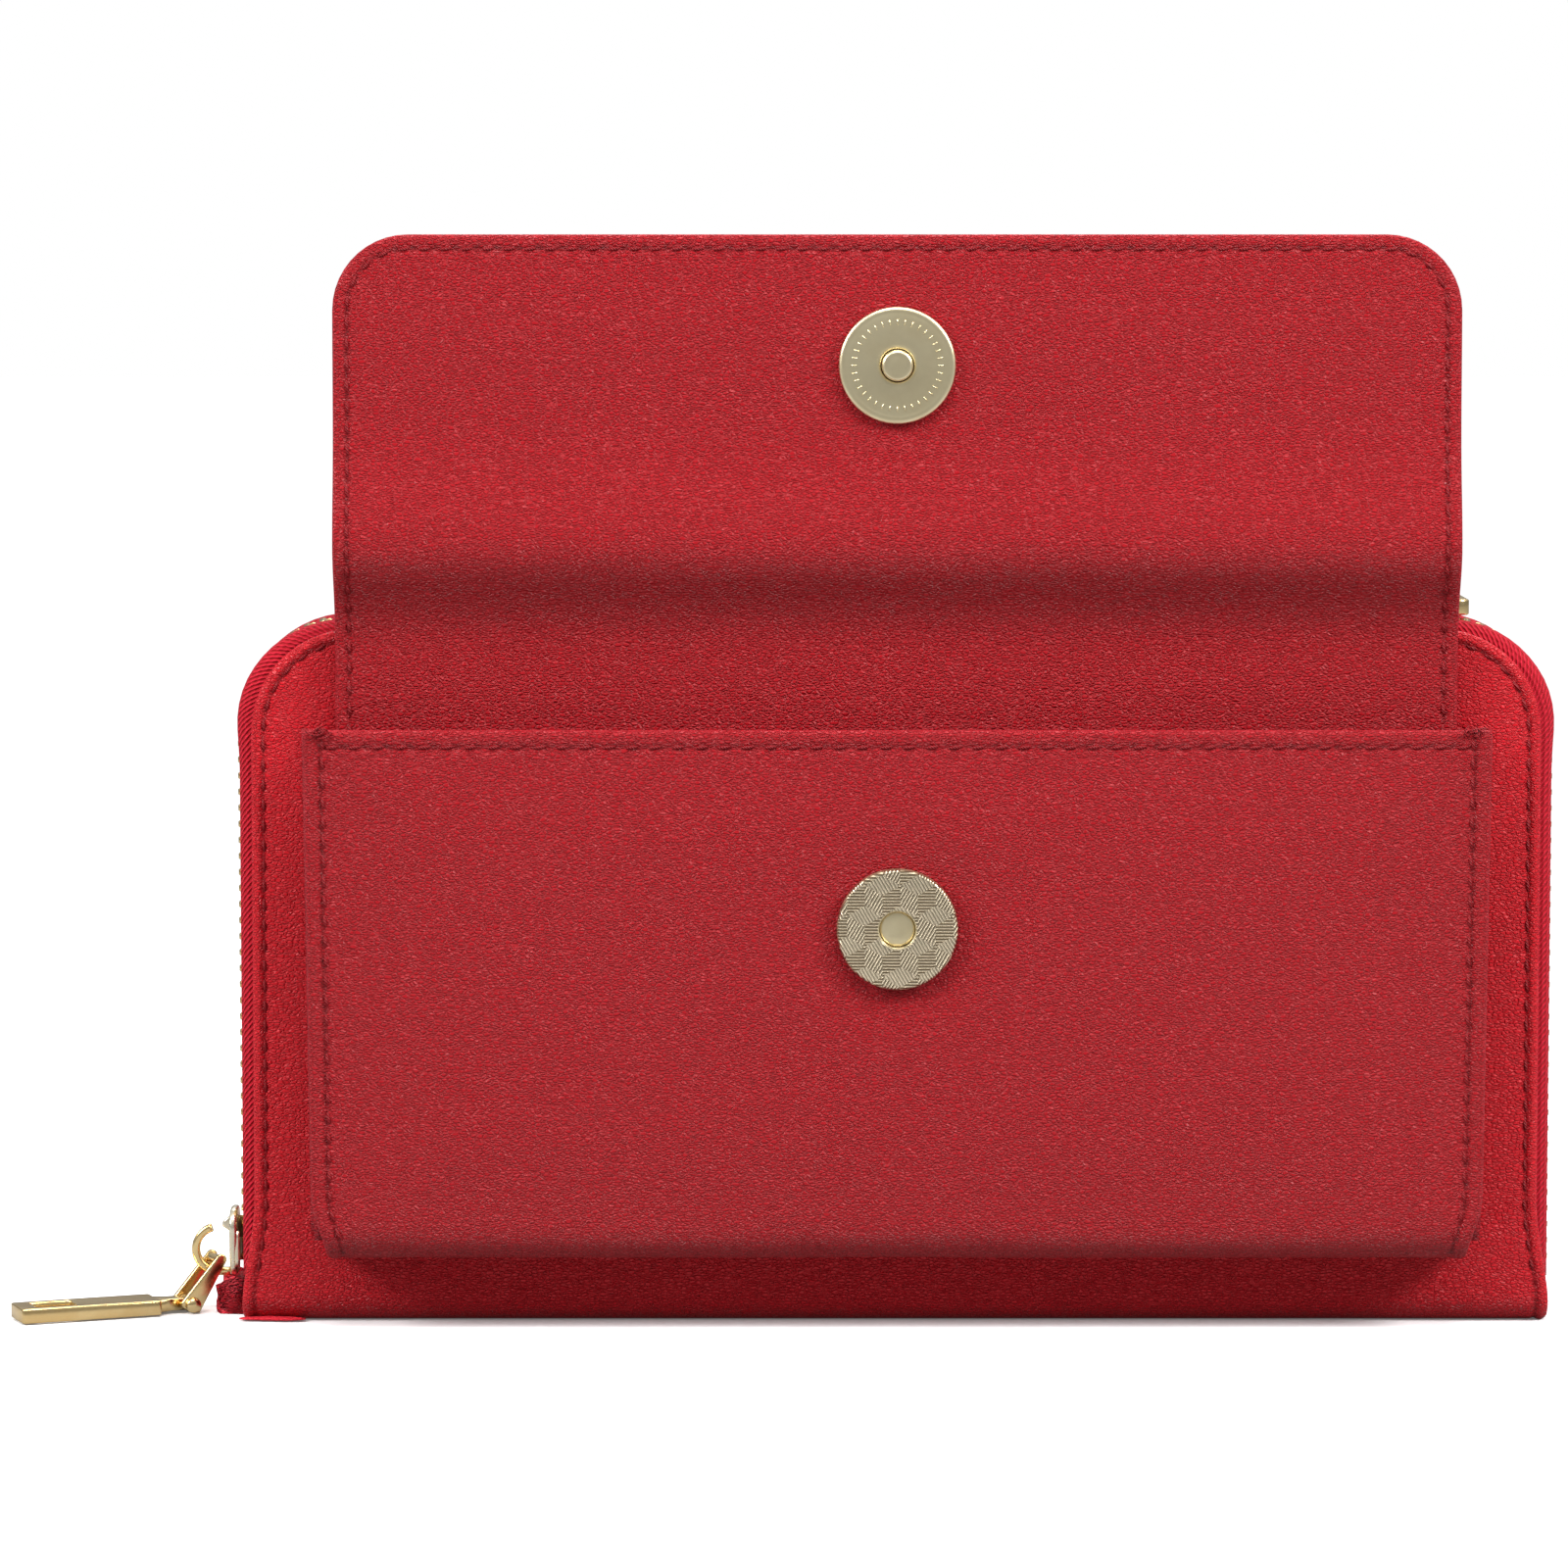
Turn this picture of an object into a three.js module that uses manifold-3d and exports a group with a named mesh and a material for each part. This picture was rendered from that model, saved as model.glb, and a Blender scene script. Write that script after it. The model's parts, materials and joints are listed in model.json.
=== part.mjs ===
// Long zip-around wallet with a phone pocket and a magnetic flap on its front.
// Millimetres, +Z up, front at -Y. The origin is the middle of the flat spine it stands on.
import * as THREE from 'three';
import { mergeVertices } from 'three/addons/utils/BufferGeometryUtils.js';
import Module from 'manifold-3d';

const wasm = await Module();
wasm.setup();

// ---------------------------------------------------------------- driving dimensions
const GAP = 0.3;                 // clearance between pieces that touch

const ZIP = { halfWidth: 101.5, top: 108.5, radius: 17, start: 6.9, end: 8.7 };
const DEPTH = 24;                // the body, from the front cover to the back cover
const FACE = DEPTH / 2;
const COVER = { halfWidth: 99, top: 107.4, bottom: 3, radius: 16, thick: 1.4 };
const LINING = { halfWidth: 94.9, top: 102, bottom: 5, radius: 12, thick: 0.7 };
const SPINE = { flat: 9.6, corner: 2.4, thick: 1.4, backTop: 2.7, frontTop: 2.3 };

const SLOT = { halfWidth: 88, bottom: 7, thick: 0.4, mouths: [86, 74, 62, 50] };
const GUSSET = { outer: 95.5, inner: 90, depth: 9, thick: 0.5, bottom: 7, top: 96 };

const TAPE = { thick: 0.5, edge: 0.5, seam: 6, shoulder: 8.6, chain: 2.6 };
const TEETH = { width: 1.3, near: 0.6, far: 2.3 };

const ROOT = { halfWidth: 85.8, bottom: 15, top: 104, thick: 1.9 };
const POCKET = {
  mouth: 92.8, bottom: 12, topHalf: 90.2, bottomHalf: 89.2, radius: 4,
  depth: 12.4, leather: 1.2, lining: 0.5, gusset: 0.8,
};

const FLAP = { halfWidth: 85.8, bottom: 105.6, top: 167.6, radius: 11.5, outer: 1.5, lining: 0.8 };
const FLAP_OFFSET = 2.6;         // how far the raised flap stands forward of the front cover
const SNAP = { pocketZ: 62.6, flapZ: 147.8, socket: 9.2, disc: 8.9, hole: 2.75, stud: 2.4 };

const COIN = { halfWidth: 86, bottom: 5.5, top: 91.5, half: 2, wall: 0.5 };
const COIN_SLIDER = { x: -72, length: 8, post: 0.25 };

const SLIDER = { bottom: 5.8, top: 16.4, halfDepth: 4.2, plate: 1.2, post: 0.45 };
const HOOK = { x: -105.6, z: 9.6, radius: 3.5, wire: 1.2, halfWidth: 0.9 };
const PRONG = { reach: 2, low: 12.6, high: 14.2, halfWidth: 0.9 };
const EYE = { x: -106.1, z: 8, radius: 0.75 };
const PULL_YAW = THREE.MathUtils.degToRad(22);
const PIN = { x: -4.55, z: -6.6, radius: 0.7, hole: 0.95, head: 1.2 };
const ARM = { near: 1.9, far: 2.9, eye: 0.85, end: 1.35 };
const TAB = { length: 27.5, width: 7.4, tongue: 1.6, thick: 2.3, window: [6.4, 3.4], rim: 2.7 };

const RING = { x: 80.3, halfWidth: 8.2, wire: 1.8, back: 11.3, front: -5, z: 110.3 };
const STRAP_TAB = { halfWidth: 5.8, hole: 1.5, outer: 2.5, tongue: 1.1, bottom: 92 };

// ---------------------------------------------------------------- materials
const leather = () => new THREE.MeshStandardMaterial({ color: 0xb02432, roughness: 0.52 });
const darkLeather = () => new THREE.MeshStandardMaterial({ color: 0x9c1826, roughness: 0.6 });
const tapeCloth = () => new THREE.MeshStandardMaterial({ color: 0xcd1423, roughness: 0.85 });
const liningCloth = () => new THREE.MeshStandardMaterial({ color: 0x8c1420, roughness: 0.9 });
const gold = () => new THREE.MeshStandardMaterial({ color: 0xc9ab6b, roughness: 0.22, metalness: 1 });
const paleGold = () => new THREE.MeshStandardMaterial({ color: 0xd2c396, roughness: 0.3, metalness: 1 });
const steel = () => new THREE.MeshStandardMaterial({ color: 0xaaaaaa, roughness: 0.4, metalness: 1 });

// ---------------------------------------------------------------- solids
const ALONG_X = new THREE.Matrix4().makeBasis(
  new THREE.Vector3(0, 1, 0), new THREE.Vector3(0, 0, 1), new THREE.Vector3(1, 0, 0));

/** A flat outline in X and Z, given a thickness from y0 back to y1. */
function slab(outline, y0, y1, curveSegments = 8) {
  const geometry = new THREE.ExtrudeGeometry(outline, { depth: y1 - y0, bevelEnabled: false, curveSegments });
  return geometry.rotateX(Math.PI / 2).translate(0, y1, 0);
}

/** A flat outline in Y and Z, given a width from x0 to x1. */
function barAlongX(outline, x0, x1, curveSegments = 8) {
  const geometry = new THREE.ExtrudeGeometry(outline, { depth: x1 - x0, bevelEnabled: false, curveSegments });
  return geometry.applyMatrix4(ALONG_X).translate(x0, 0, 0);
}

function box(low, high) {
  const size = high.map((value, i) => value - low[i]);
  const centre = high.map((value, i) => (value + low[i]) / 2);
  return new THREE.BoxGeometry(...size).translate(...centre);
}

/** A round piece turned about a Y axis through (x, z); the profile is [radius, y] pairs. */
function turned(profile, x, z, segments = 40) {
  const points = profile.map(([radius, y]) => new THREE.Vector2(radius, y));
  return new THREE.LatheGeometry(points, segments).translate(x, 0, z);
}

/** A round bar along Y. */
function rod(radius, y0, y1, x = 0, z = 0, segments = 20) {
  return turned([[0, y0], [radius, y0], [radius, y1], [0, y1]], x, z, segments);
}

function solid(geometry) {
  const bare = geometry.clone();
  bare.deleteAttribute('normal');
  bare.deleteAttribute('uv');
  const merged = mergeVertices(bare, 1e-4);
  return new wasm.Manifold(new wasm.Mesh({
    numProp: 3,
    vertProperties: new Float32Array(merged.attributes.position.array),
    triVerts: new Uint32Array(merged.index.array),
  }));
}

function geometryOf(manifold) {
  const mesh = manifold.getMesh();
  const geometry = new THREE.BufferGeometry();
  geometry.setAttribute('position', new THREE.BufferAttribute(mesh.vertProperties, 3));
  geometry.setIndex(new THREE.BufferAttribute(mesh.triVerts, 1));
  geometry.computeVertexNormals();
  return geometry;
}

const join = (first, ...rest) => geometryOf(rest.reduce((sum, g) => sum.add(solid(g)), solid(first)));
const cut = (first, ...rest) => geometryOf(rest.reduce((sum, g) => sum.subtract(solid(g)), solid(first)));

// ---------------------------------------------------------------- outlines
/** A panel with round upper corners and nearly square lower ones. */
function panelOutline({ halfWidth, top, bottom, radius }, lower = 1) {
  const shape = new THREE.Shape();
  shape.moveTo(-halfWidth + lower, bottom);
  shape.lineTo(halfWidth - lower, bottom);
  shape.absarc(halfWidth - lower, bottom + lower, lower, -Math.PI / 2, 0);
  shape.absarc(halfWidth - radius, top - radius, radius, 0, Math.PI / 2);
  shape.absarc(-halfWidth + radius, top - radius, radius, Math.PI / 2, Math.PI);
  shape.absarc(-halfWidth + lower, bottom + lower, lower, Math.PI, 1.5 * Math.PI);
  return shape;
}

/** The pocket's outline: a little narrower at its round bottom corners than at its mouth. */
function pocketOutline(inset, mouth) {
  const top = POCKET.topHalf - inset;
  const bottom = POCKET.bottomHalf - inset;
  const low = POCKET.bottom + inset;
  const r = POCKET.radius;
  const shape = new THREE.Shape();
  shape.moveTo(-bottom + r, low);
  shape.lineTo(bottom - r, low);
  shape.quadraticCurveTo(bottom, low, bottom, low + r);
  shape.lineTo(top, mouth);
  shape.lineTo(-top, mouth);
  shape.lineTo(-bottom, low + r);
  shape.quadraticCurveTo(-bottom, low, -bottom + r, low);
  return shape;
}

function polygon(points) {
  return new THREE.Shape(points.map(([x, y]) => new THREE.Vector2(x, y)));
}

// ---------------------------------------------------------------- the zip's run
/** Points along the chain, up the left side, over the top and down the right, with outward normals. */
function zipRun(startZ, endZ) {
  const { halfWidth, top, radius } = ZIP;
  const cornerSteps = 8;
  const run = [{ x: -halfWidth, z: startZ, nx: -1, nz: 0 }];
  for (const side of [-1, 1]) {
    for (let i = 0; i <= cornerSteps; i += 1) {
      const turn = (Math.PI / 2) * (i / cornerSteps);
      const angle = side < 0 ? Math.PI - turn : Math.PI / 2 - turn;
      const nx = Math.cos(angle);
      const nz = Math.sin(angle);
      const centreX = side * (halfWidth - radius);
      run.push({ x: centreX + radius * nx, z: top - radius + radius * nz, nx, nz });
    }
  }
  run.push({ x: halfWidth, z: endZ, nx: 1, nz: 0 });
  return run;
}

/** Carries a section, [outward, y] pairs, along the zip and closes both ends. */
function alongZip(section, startZ, endZ) {
  const run = zipRun(startZ, endZ);
  const count = section.length;
  const contour = section.map(([out, y]) => new THREE.Vector2(out, y));
  if (THREE.ShapeUtils.isClockWise(contour)) {
    contour.reverse();
    section = [...section].reverse();
  }
  const caps = THREE.ShapeUtils.triangulateShape(contour, []);
  const positions = [];
  for (const { x, z, nx, nz } of run) {
    for (const [out, y] of section) positions.push(x + out * nx, y, z + out * nz);
  }
  const index = [];
  for (let i = 0; i + 1 < run.length; i += 1) {
    for (let k = 0; k < count; k += 1) {
      const a = i * count + k;
      const b = i * count + ((k + 1) % count);
      index.push(a, b, a + count, b, b + count, a + count);
    }
  }
  const last = (run.length - 1) * count;
  for (const [a, b, c] of caps) index.push(a, c, b, last + a, last + b, last + c);
  const geometry = new THREE.BufferGeometry();
  geometry.setAttribute('position', new THREE.Float32BufferAttribute(positions, 3));
  geometry.setIndex(index);
  return facingOut(geometry);
}

/** Turns the faces round if the body they close has a negative volume. */
function facingOut(geometry) {
  const p = geometry.attributes.position;
  const corner = (i) => new THREE.Vector3().fromBufferAttribute(p, geometry.index.getX(i));
  let volume = 0;
  for (let i = 0; i < geometry.index.count; i += 3) {
    volume += corner(i).dot(corner(i + 1).cross(corner(i + 2)));
  }
  if (volume < 0) geometry.setIndex(Array.from(geometry.index.array).reverse());
  geometry.computeVertexNormals();
  return geometry;
}

// ---------------------------------------------------------------- assembly
const wallet = new THREE.Group();

function add(name, geometry, material, parent = wallet) {
  const mesh = new THREE.Mesh(geometry, material);
  mesh.name = name;
  parent.add(mesh);
  return mesh;
}

/** One half of the body: `side` is +1 for the back half and -1 for the front half. */
function addHalf(prefix, side) {
  const layer = (outline, far, thick, curveSegments = 8) => {
    const y = [side * far, side * (far - thick)].sort((a, b) => a - b);
    return slab(outline, y[0], y[1], curveSegments);
  };
  add(`${prefix}_cover`, layer(panelOutline(COVER), FACE, COVER.thick), leather());

  const liningFar = FACE - COVER.thick - GAP;
  add(`${prefix}_lining`, layer(panelOutline(LINING), liningFar, LINING.thick), liningCloth());

  let far = liningFar - LINING.thick - GAP;
  SLOT.mouths.forEach((mouth, i) => {
    const outline = panelOutline({ ...SLOT, top: mouth, radius: 1 });
    add(`${prefix}_card_slot_${i + 1}`, layer(outline, far, SLOT.thick, 2), leather());
    far -= SLOT.thick + GAP;
  });

  const under = liningFar;
  const { thick, edge, seam, shoulder, chain } = TAPE;
  const tape = [
    [-seam, under], [-2, under], [-edge, shoulder], [-edge, chain],
    [-edge - thick, chain], [-edge - thick, shoulder - 0.2], [-2.2, under - thick], [-seam, under - thick],
  ].map(([out, y]) => [out, side * y]);
  add(`${prefix}_zip_tape`, alongZip(tape, ZIP.start, ZIP.end), tapeCloth());

  const { width, near, far: outerY } = TEETH;
  const teeth = [[0, near], [0, outerY], [-width, outerY], [-width, near]].map(([out, y]) => [out, side * y]);
  add(`${prefix}_zip_teeth`, alongZip(teeth, ZIP.start, ZIP.end), gold());
}

/** The leather that wraps under both halves: flat underneath, with a round lower corner on each side. */
function addSpine() {
  const { flat, corner, thick, backTop, frontTop } = SPINE;
  const inner = flat - 0.4;
  const shape = new THREE.Shape();
  shape.moveTo(-FACE + 0.3, frontTop);
  shape.quadraticCurveTo(-FACE + 0.8, 0, -flat, 0);
  shape.lineTo(flat, 0);
  shape.quadraticCurveTo(FACE, 0, FACE, corner);
  shape.lineTo(FACE, backTop);
  shape.lineTo(FACE - thick, backTop);
  shape.quadraticCurveTo(FACE - thick, thick, inner, thick);
  shape.lineTo(-inner, thick);
  shape.quadraticCurveTo(-FACE + thick + 0.3, thick + 0.2, -FACE + thick + 0.3, frontTop);
  add('spine_cover', barAlongX(shape, -COVER.halfWidth, COVER.halfWidth), leather());
  const low = SPINE.thick + GAP;
  add('spine_lining', box([-94, -7, low], [94, 7, low + 0.6]), liningCloth());
}

/** Zigzag cloth at each end, which lets the halves fan apart and keeps papers in. */
function addGussets() {
  const { outer, inner, depth, thick, bottom, top } = GUSSET;
  for (const [name, side] of [['gusset_left', -1], ['gusset_right', 1]]) {
    const folds = [[outer, depth], [inner, depth / 2], [outer, 0], [inner, -depth / 2], [outer, -depth]];
    const near = folds.map(([x, y]) => [side * x, y]);
    const far = folds.map(([x, y]) => [side * (x - thick * 1.6), y]).reverse();
    const depthUp = { depth: top - bottom, bevelEnabled: false };
    const geometry = new THREE.ExtrudeGeometry(polygon([...near, ...far]), depthUp);
    add(name, geometry.translate(0, 0, bottom), liningCloth());
  }
}

/** What closes the two ends of the zip: stitched-down leather tabs and metal stops. */
function addZipEnds() {
  const tabTop = 5.2;
  add('zip_end_tab_left', slab(
    polygon([[-105, 0.2], [-99.4, 0.2], [-99.4, tabTop], [-103.6, tabTop], [-105, 3.2]]), -4.5, 4.5), leather());
  add('zip_end_tab_right', box([99.4, -4.5, 0.2], [103.2, 4.5, 4.6]), leather());
  const { width, near, far } = TEETH;
  const x = ZIP.halfWidth;
  add('zip_stop_back', box([-x, near, 5.5], [-x + width, far, ZIP.start - GAP]), gold());
  add('zip_stop_front', box([-x, -far, 5.5], [-x + width, -near, ZIP.start - GAP]), gold());
  add('zip_stop_end', box([x - width, -far, 5.6], [x, far, ZIP.end - GAP]), gold());
}

/** The pull's wrist-strap ring and the leather tab that holds it at the top right. */
function addStrapRing() {
  const { x, halfWidth, wire, back, front, z } = RING;
  const half = wire / 2;
  const frame = box([x - halfWidth, front - half, z - half], [x + halfWidth, back + half, z + half]);
  const gap = box([x - halfWidth + wire, front + half, z - wire], [x + halfWidth - wire, back - half, z + wire]);
  add('strap_ring', cut(frame, gap), gold());

  const { halfWidth: tabHalf, hole, outer, tongue, bottom } = STRAP_TAB;
  const roundAlongX = (radius, grow) => {
    const circle = new THREE.Shape().absarc(back, z, radius, 0, 2 * Math.PI);
    return barAlongX(circle, x - tabHalf - grow, x + tabHalf + grow, 12);
  };
  const strip = box([x - tabHalf, FACE + GAP, bottom], [x + tabHalf, FACE + GAP + tongue, z]);
  add('strap_tab', cut(join(roundAlongX(outer, 0), strip), roundAlongX(hole, 1)), leather());
  const face = FACE + GAP + tongue + GAP;
  const rivet = [[0, face], [2.4, face], [2.2, face + 0.5], [1.2, face + 0.9], [0, face + 1]];
  add('strap_tab_rivet', turned(rivet, x, bottom + 5, 24), gold());
}

/** The open phone pocket on the front cover, with gussets along its sides and bottom. */
function addPocket() {
  const back = -FACE - GAP;
  const rootOutline = panelOutline({ ...ROOT, radius: 1 });
  add('flap_root', slab(rootOutline, back - ROOT.thick, back), leather());

  const front = -FACE - POCKET.depth;
  const inside = front + POCKET.leather;
  const recess = rod(6.9, inside - 0.7, inside + 1, 0, SNAP.pocketZ, 32);
  add('pocket_front', cut(slab(pocketOutline(0, POCKET.mouth), front, inside), recess), leather());
  const washer = [[2, inside - 0.4], [6.3, inside - 0.4], [6.3, inside], [2, inside], [2, inside - 0.4]];
  add('snap_socket_washer', turned(washer, 0, SNAP.pocketZ, 32), steel());

  const liningY = inside + GAP;
  const linedOutline = pocketOutline(2.6, POCKET.mouth - 1.4);
  add('pocket_lining', slab(linedOutline, liningY, liningY + POCKET.lining), liningCloth());

  const side = (x) => box([x, inside + GAP, POCKET.bottom + 4], [x + POCKET.gusset, back, POCKET.mouth]);
  add('pocket_gusset_left', side(-POCKET.bottomHalf + 0.4), leather());
  add('pocket_gusset_right', side(POCKET.bottomHalf - 0.4 - POCKET.gusset), leather());
  const reach = POCKET.bottomHalf - POCKET.radius - 1;
  const floor = [[-reach, inside + GAP, POCKET.bottom + 0.5], [reach, back, POCKET.bottom + 0.5 + POCKET.gusset]];
  add('pocket_gusset_bottom', box(floor[0], floor[1]), leather());
}

/** The magnetic socket on the pocket: a pressed cap with a ring magnet behind it. */
function addSocket() {
  const leatherY = -FACE - POCKET.depth - GAP;
  const { socket, hole, pocketZ } = SNAP;
  const tall = 1.8;
  const wall = 0.4;
  const cap = [
    [hole, leatherY - tall], [socket - 0.6, leatherY - tall], [socket, leatherY - tall + 0.5], [socket, leatherY],
    [socket - wall, leatherY], [socket - wall, leatherY - tall + wall + 0.2],
    [hole + wall, leatherY - tall + wall + 0.2], [hole + wall, leatherY], [hole, leatherY], [hole, leatherY - tall],
  ];
  add('snap_socket_cap', turned(cap, 0, pocketZ, 48), paleGold());
  const inner = hole + wall + GAP;
  const outer = socket - wall - GAP;
  const top = leatherY - tall + wall + 0.2 + GAP;
  const magnet = [[inner, top], [outer, top], [outer, leatherY], [inner, leatherY], [inner, top]];
  add('snap_magnet', turned(magnet, 0, pocketZ, 32), steel());
}

/** The flap, raised: outer leather, lining leather and the plain half of the snap. */
function addFlap() {
  const back = -FACE - FLAP_OFFSET;
  const seam = back - FLAP.outer;
  const face = seam - GAP - FLAP.lining;
  const outline = panelOutline(FLAP);
  const recess = rod(6.9, seam - 1, seam + 0.9, 0, SNAP.flapZ, 32);
  add('flap_outer', cut(slab(outline, seam, back), recess), leather());
  add('flap_lining', slab(outline, face, seam - GAP), leather());
  const washer = [[1.5, seam], [6.3, seam], [6.3, seam + 0.6], [1.5, seam + 0.6], [1.5, seam]];
  add('snap_stud_washer', turned(washer, 0, SNAP.flapZ, 32), steel());

  const base = face - GAP;
  const top = base - 0.8;
  const disc = [
    [SNAP.stud + GAP, top], [SNAP.disc - 0.5, top], [SNAP.disc, top + 0.4], [SNAP.disc, base],
    [SNAP.stud + GAP, base], [SNAP.stud + GAP, top],
  ];
  add('snap_disc', turned(disc, 0, SNAP.flapZ, 48), paleGold());
  const tip = top - 1.5;
  const stud = [[0, tip], [SNAP.stud - 0.4, tip], [SNAP.stud, tip + 0.4], [SNAP.stud, base], [0, base]];
  add('snap_stud', turned(stud, 0, SNAP.flapZ, 32), paleGold());
}

/** The zipped coin pocket that stands between the halves, with its own small slider and pull. */
function addCoinPocket() {
  const { halfWidth, bottom, top, half, wall } = COIN;
  add('coin_pocket_front', box([-halfWidth, -half, bottom], [halfWidth, -half + wall, top]), leather());
  add('coin_pocket_back', box([-halfWidth, half - wall, bottom], [halfWidth, half, top]), leather());
  const floorY = half - wall - GAP;
  add('coin_pocket_floor', box([-halfWidth, -floorY, bottom], [halfWidth, floorY, bottom + 0.6]), liningCloth());
  const low = top + GAP;
  const end = halfWidth - 6;
  for (const [name, side] of [['front', -1], ['back', 1]]) {
    const strip = (near, far, z0, z1) => {
      const y = [side * near, side * far].sort((a, b) => a - b);
      return box([-end, y[0], z0], [end, y[1], z1]);
    };
    add(`coin_zip_tape_${name}`, strip(1.4, half, low, low + 0.4), tapeCloth());
    add(`coin_zip_teeth_${name}`, strip(0.4, 1.1, low, low + 1.1), gold());
  }
  const { x, length, post } = COIN_SLIDER;
  const plateLow = low + 1.1 + GAP;
  const plate = box([x, -1.9, plateLow], [x + length, 1.9, plateLow + 0.9]);
  const under = box([x + 1, -1.1, low - 1.6], [x + length - 1, 1.1, low - 0.8]);
  const web = box([x + 2, -post, low - 1], [x + 4.5, post, plateLow + 0.2]);
  const lug = (y) => box([x + 1.6, y, plateLow + 0.5], [x + 3.2, y + 0.45, plateLow + 2.4]);
  add('coin_slider', join(plate, under, web, lug(-1.9), lug(1.45)), gold());
  const lift = plateLow + 0.9 + GAP;
  add('coin_pull', box([x + 2, -1.15, lift], [x + 12, 1.15, lift + 0.9]), gold());
}

/** The main slider, on the left side near the start of the zip, and the hook that carries its pull. */
function addSlider() {
  const { bottom, top, halfDepth, plate, post } = SLIDER;
  const outerX = -ZIP.halfWidth - 0.9 - plate;
  const innerX = -ZIP.halfWidth + TEETH.width + 0.5;
  const outer = box([outerX, -halfDepth, bottom], [outerX + plate, halfDepth, top]);
  const inner = box([innerX, -halfDepth, bottom + 1], [innerX + plate, halfDepth, top - 1]);
  const web = box([outerX + 0.4, -post, top - 5], [innerX + 0.4, post, top - 1.6]);
  const prong = box(
    [outerX - PRONG.reach, -PRONG.halfWidth, PRONG.low], [outerX + 0.2, PRONG.halfWidth, PRONG.high]);
  add('slider_body', join(outer, inner, web, prong), gold());

  const { x, z, radius, wire, halfWidth } = HOOK;
  const from = THREE.MathUtils.degToRad(105);
  const to = THREE.MathUtils.degToRad(270);
  const foot = outerX - GAP;
  const shape = new THREE.Shape();
  shape.absarc(x, z, radius + wire / 2, from, to);
  shape.lineTo(foot, z - radius - wire / 2);
  shape.lineTo(foot, z - radius + wire / 2);
  shape.absarc(x, z, radius - wire / 2, to, from, true);
  shape.closePath();
  add('slider_hook', slab(shape, -halfWidth, halfWidth, 14), gold());
}

/** The pull: a two-armed link that hangs in the hook, its pin, and the bar that the hand holds. */
function addPull() {
  const pull = new THREE.Group();
  pull.position.set(EYE.x, 0, EYE.z);
  pull.rotation.z = PULL_YAW;
  wallet.add(pull);

  const along = Math.atan2(PIN.z, PIN.x);
  const nx = -Math.sin(along);
  const nz = Math.cos(along);
  const armShape = () => {
    const shape = new THREE.Shape();
    const start = Math.atan2(nz, nx);
    shape.absarc(0, 0, ARM.eye, start, start + Math.PI);
    shape.absarc(PIN.x, PIN.z, ARM.end, start + Math.PI, start + 2 * Math.PI);
    shape.closePath();
    shape.holes.push(new THREE.Path().absarc(PIN.x, PIN.z, PIN.hole, 0, 2 * Math.PI));
    return shape;
  };
  const arms = [slab(armShape(), -ARM.far, -ARM.near), slab(armShape(), ARM.near, ARM.far)];
  add('pull_link', join(arms[0], arms[1], rod(EYE.radius, -ARM.far + 0.2, ARM.far - 0.2)), gold(), pull);

  const head = ARM.far + GAP;
  const pin = [
    [0, -head - 0.6], [PIN.head, -head - 0.6], [PIN.head, -head], [PIN.radius, -head],
    [PIN.radius, head], [PIN.head, head], [PIN.head, head + 0.6], [0, head + 0.6],
  ];
  add('pull_pin', turned(pin, PIN.x, PIN.z, 20), gold(), pull);

  const { length, width, tongue, thick, window: opening, rim } = TAB;
  const middle = PIN.z;
  const low = middle - thick / 2;
  const end = PIN.x - length;
  const plan = polygon([
    [end, -width / 2], [PIN.x - 6, -width / 2], [PIN.x - 3.4, -tongue],
    [PIN.x, -tongue], [PIN.x, tongue], [PIN.x - 3.4, tongue], [PIN.x - 6, width / 2], [end, width / 2],
  ]);
  const bar = new THREE.ExtrudeGeometry(plan, { depth: thick, bevelEnabled: false }).translate(0, 0, low);
  const barrel = rod(1.25, -tongue, tongue, PIN.x, PIN.z, 24);
  const bore = rod(PIN.hole, -tongue - 1, tongue + 1, PIN.x, PIN.z, 20);
  const hole = box(
    [end + rim, -opening[1] / 2, low - 1], [end + rim + opening[0], opening[1] / 2, low + thick + 1]);
  add('pull_tab', cut(join(bar, barrel), bore, hole), gold(), pull);
}

addHalf('back', 1);
addHalf('front', -1);
addSpine();
addGussets();
addZipEnds();
addStrapRing();
addPocket();
addSocket();
addFlap();
addCoinPocket();
addSlider();
addPull();

export default wallet;
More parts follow.
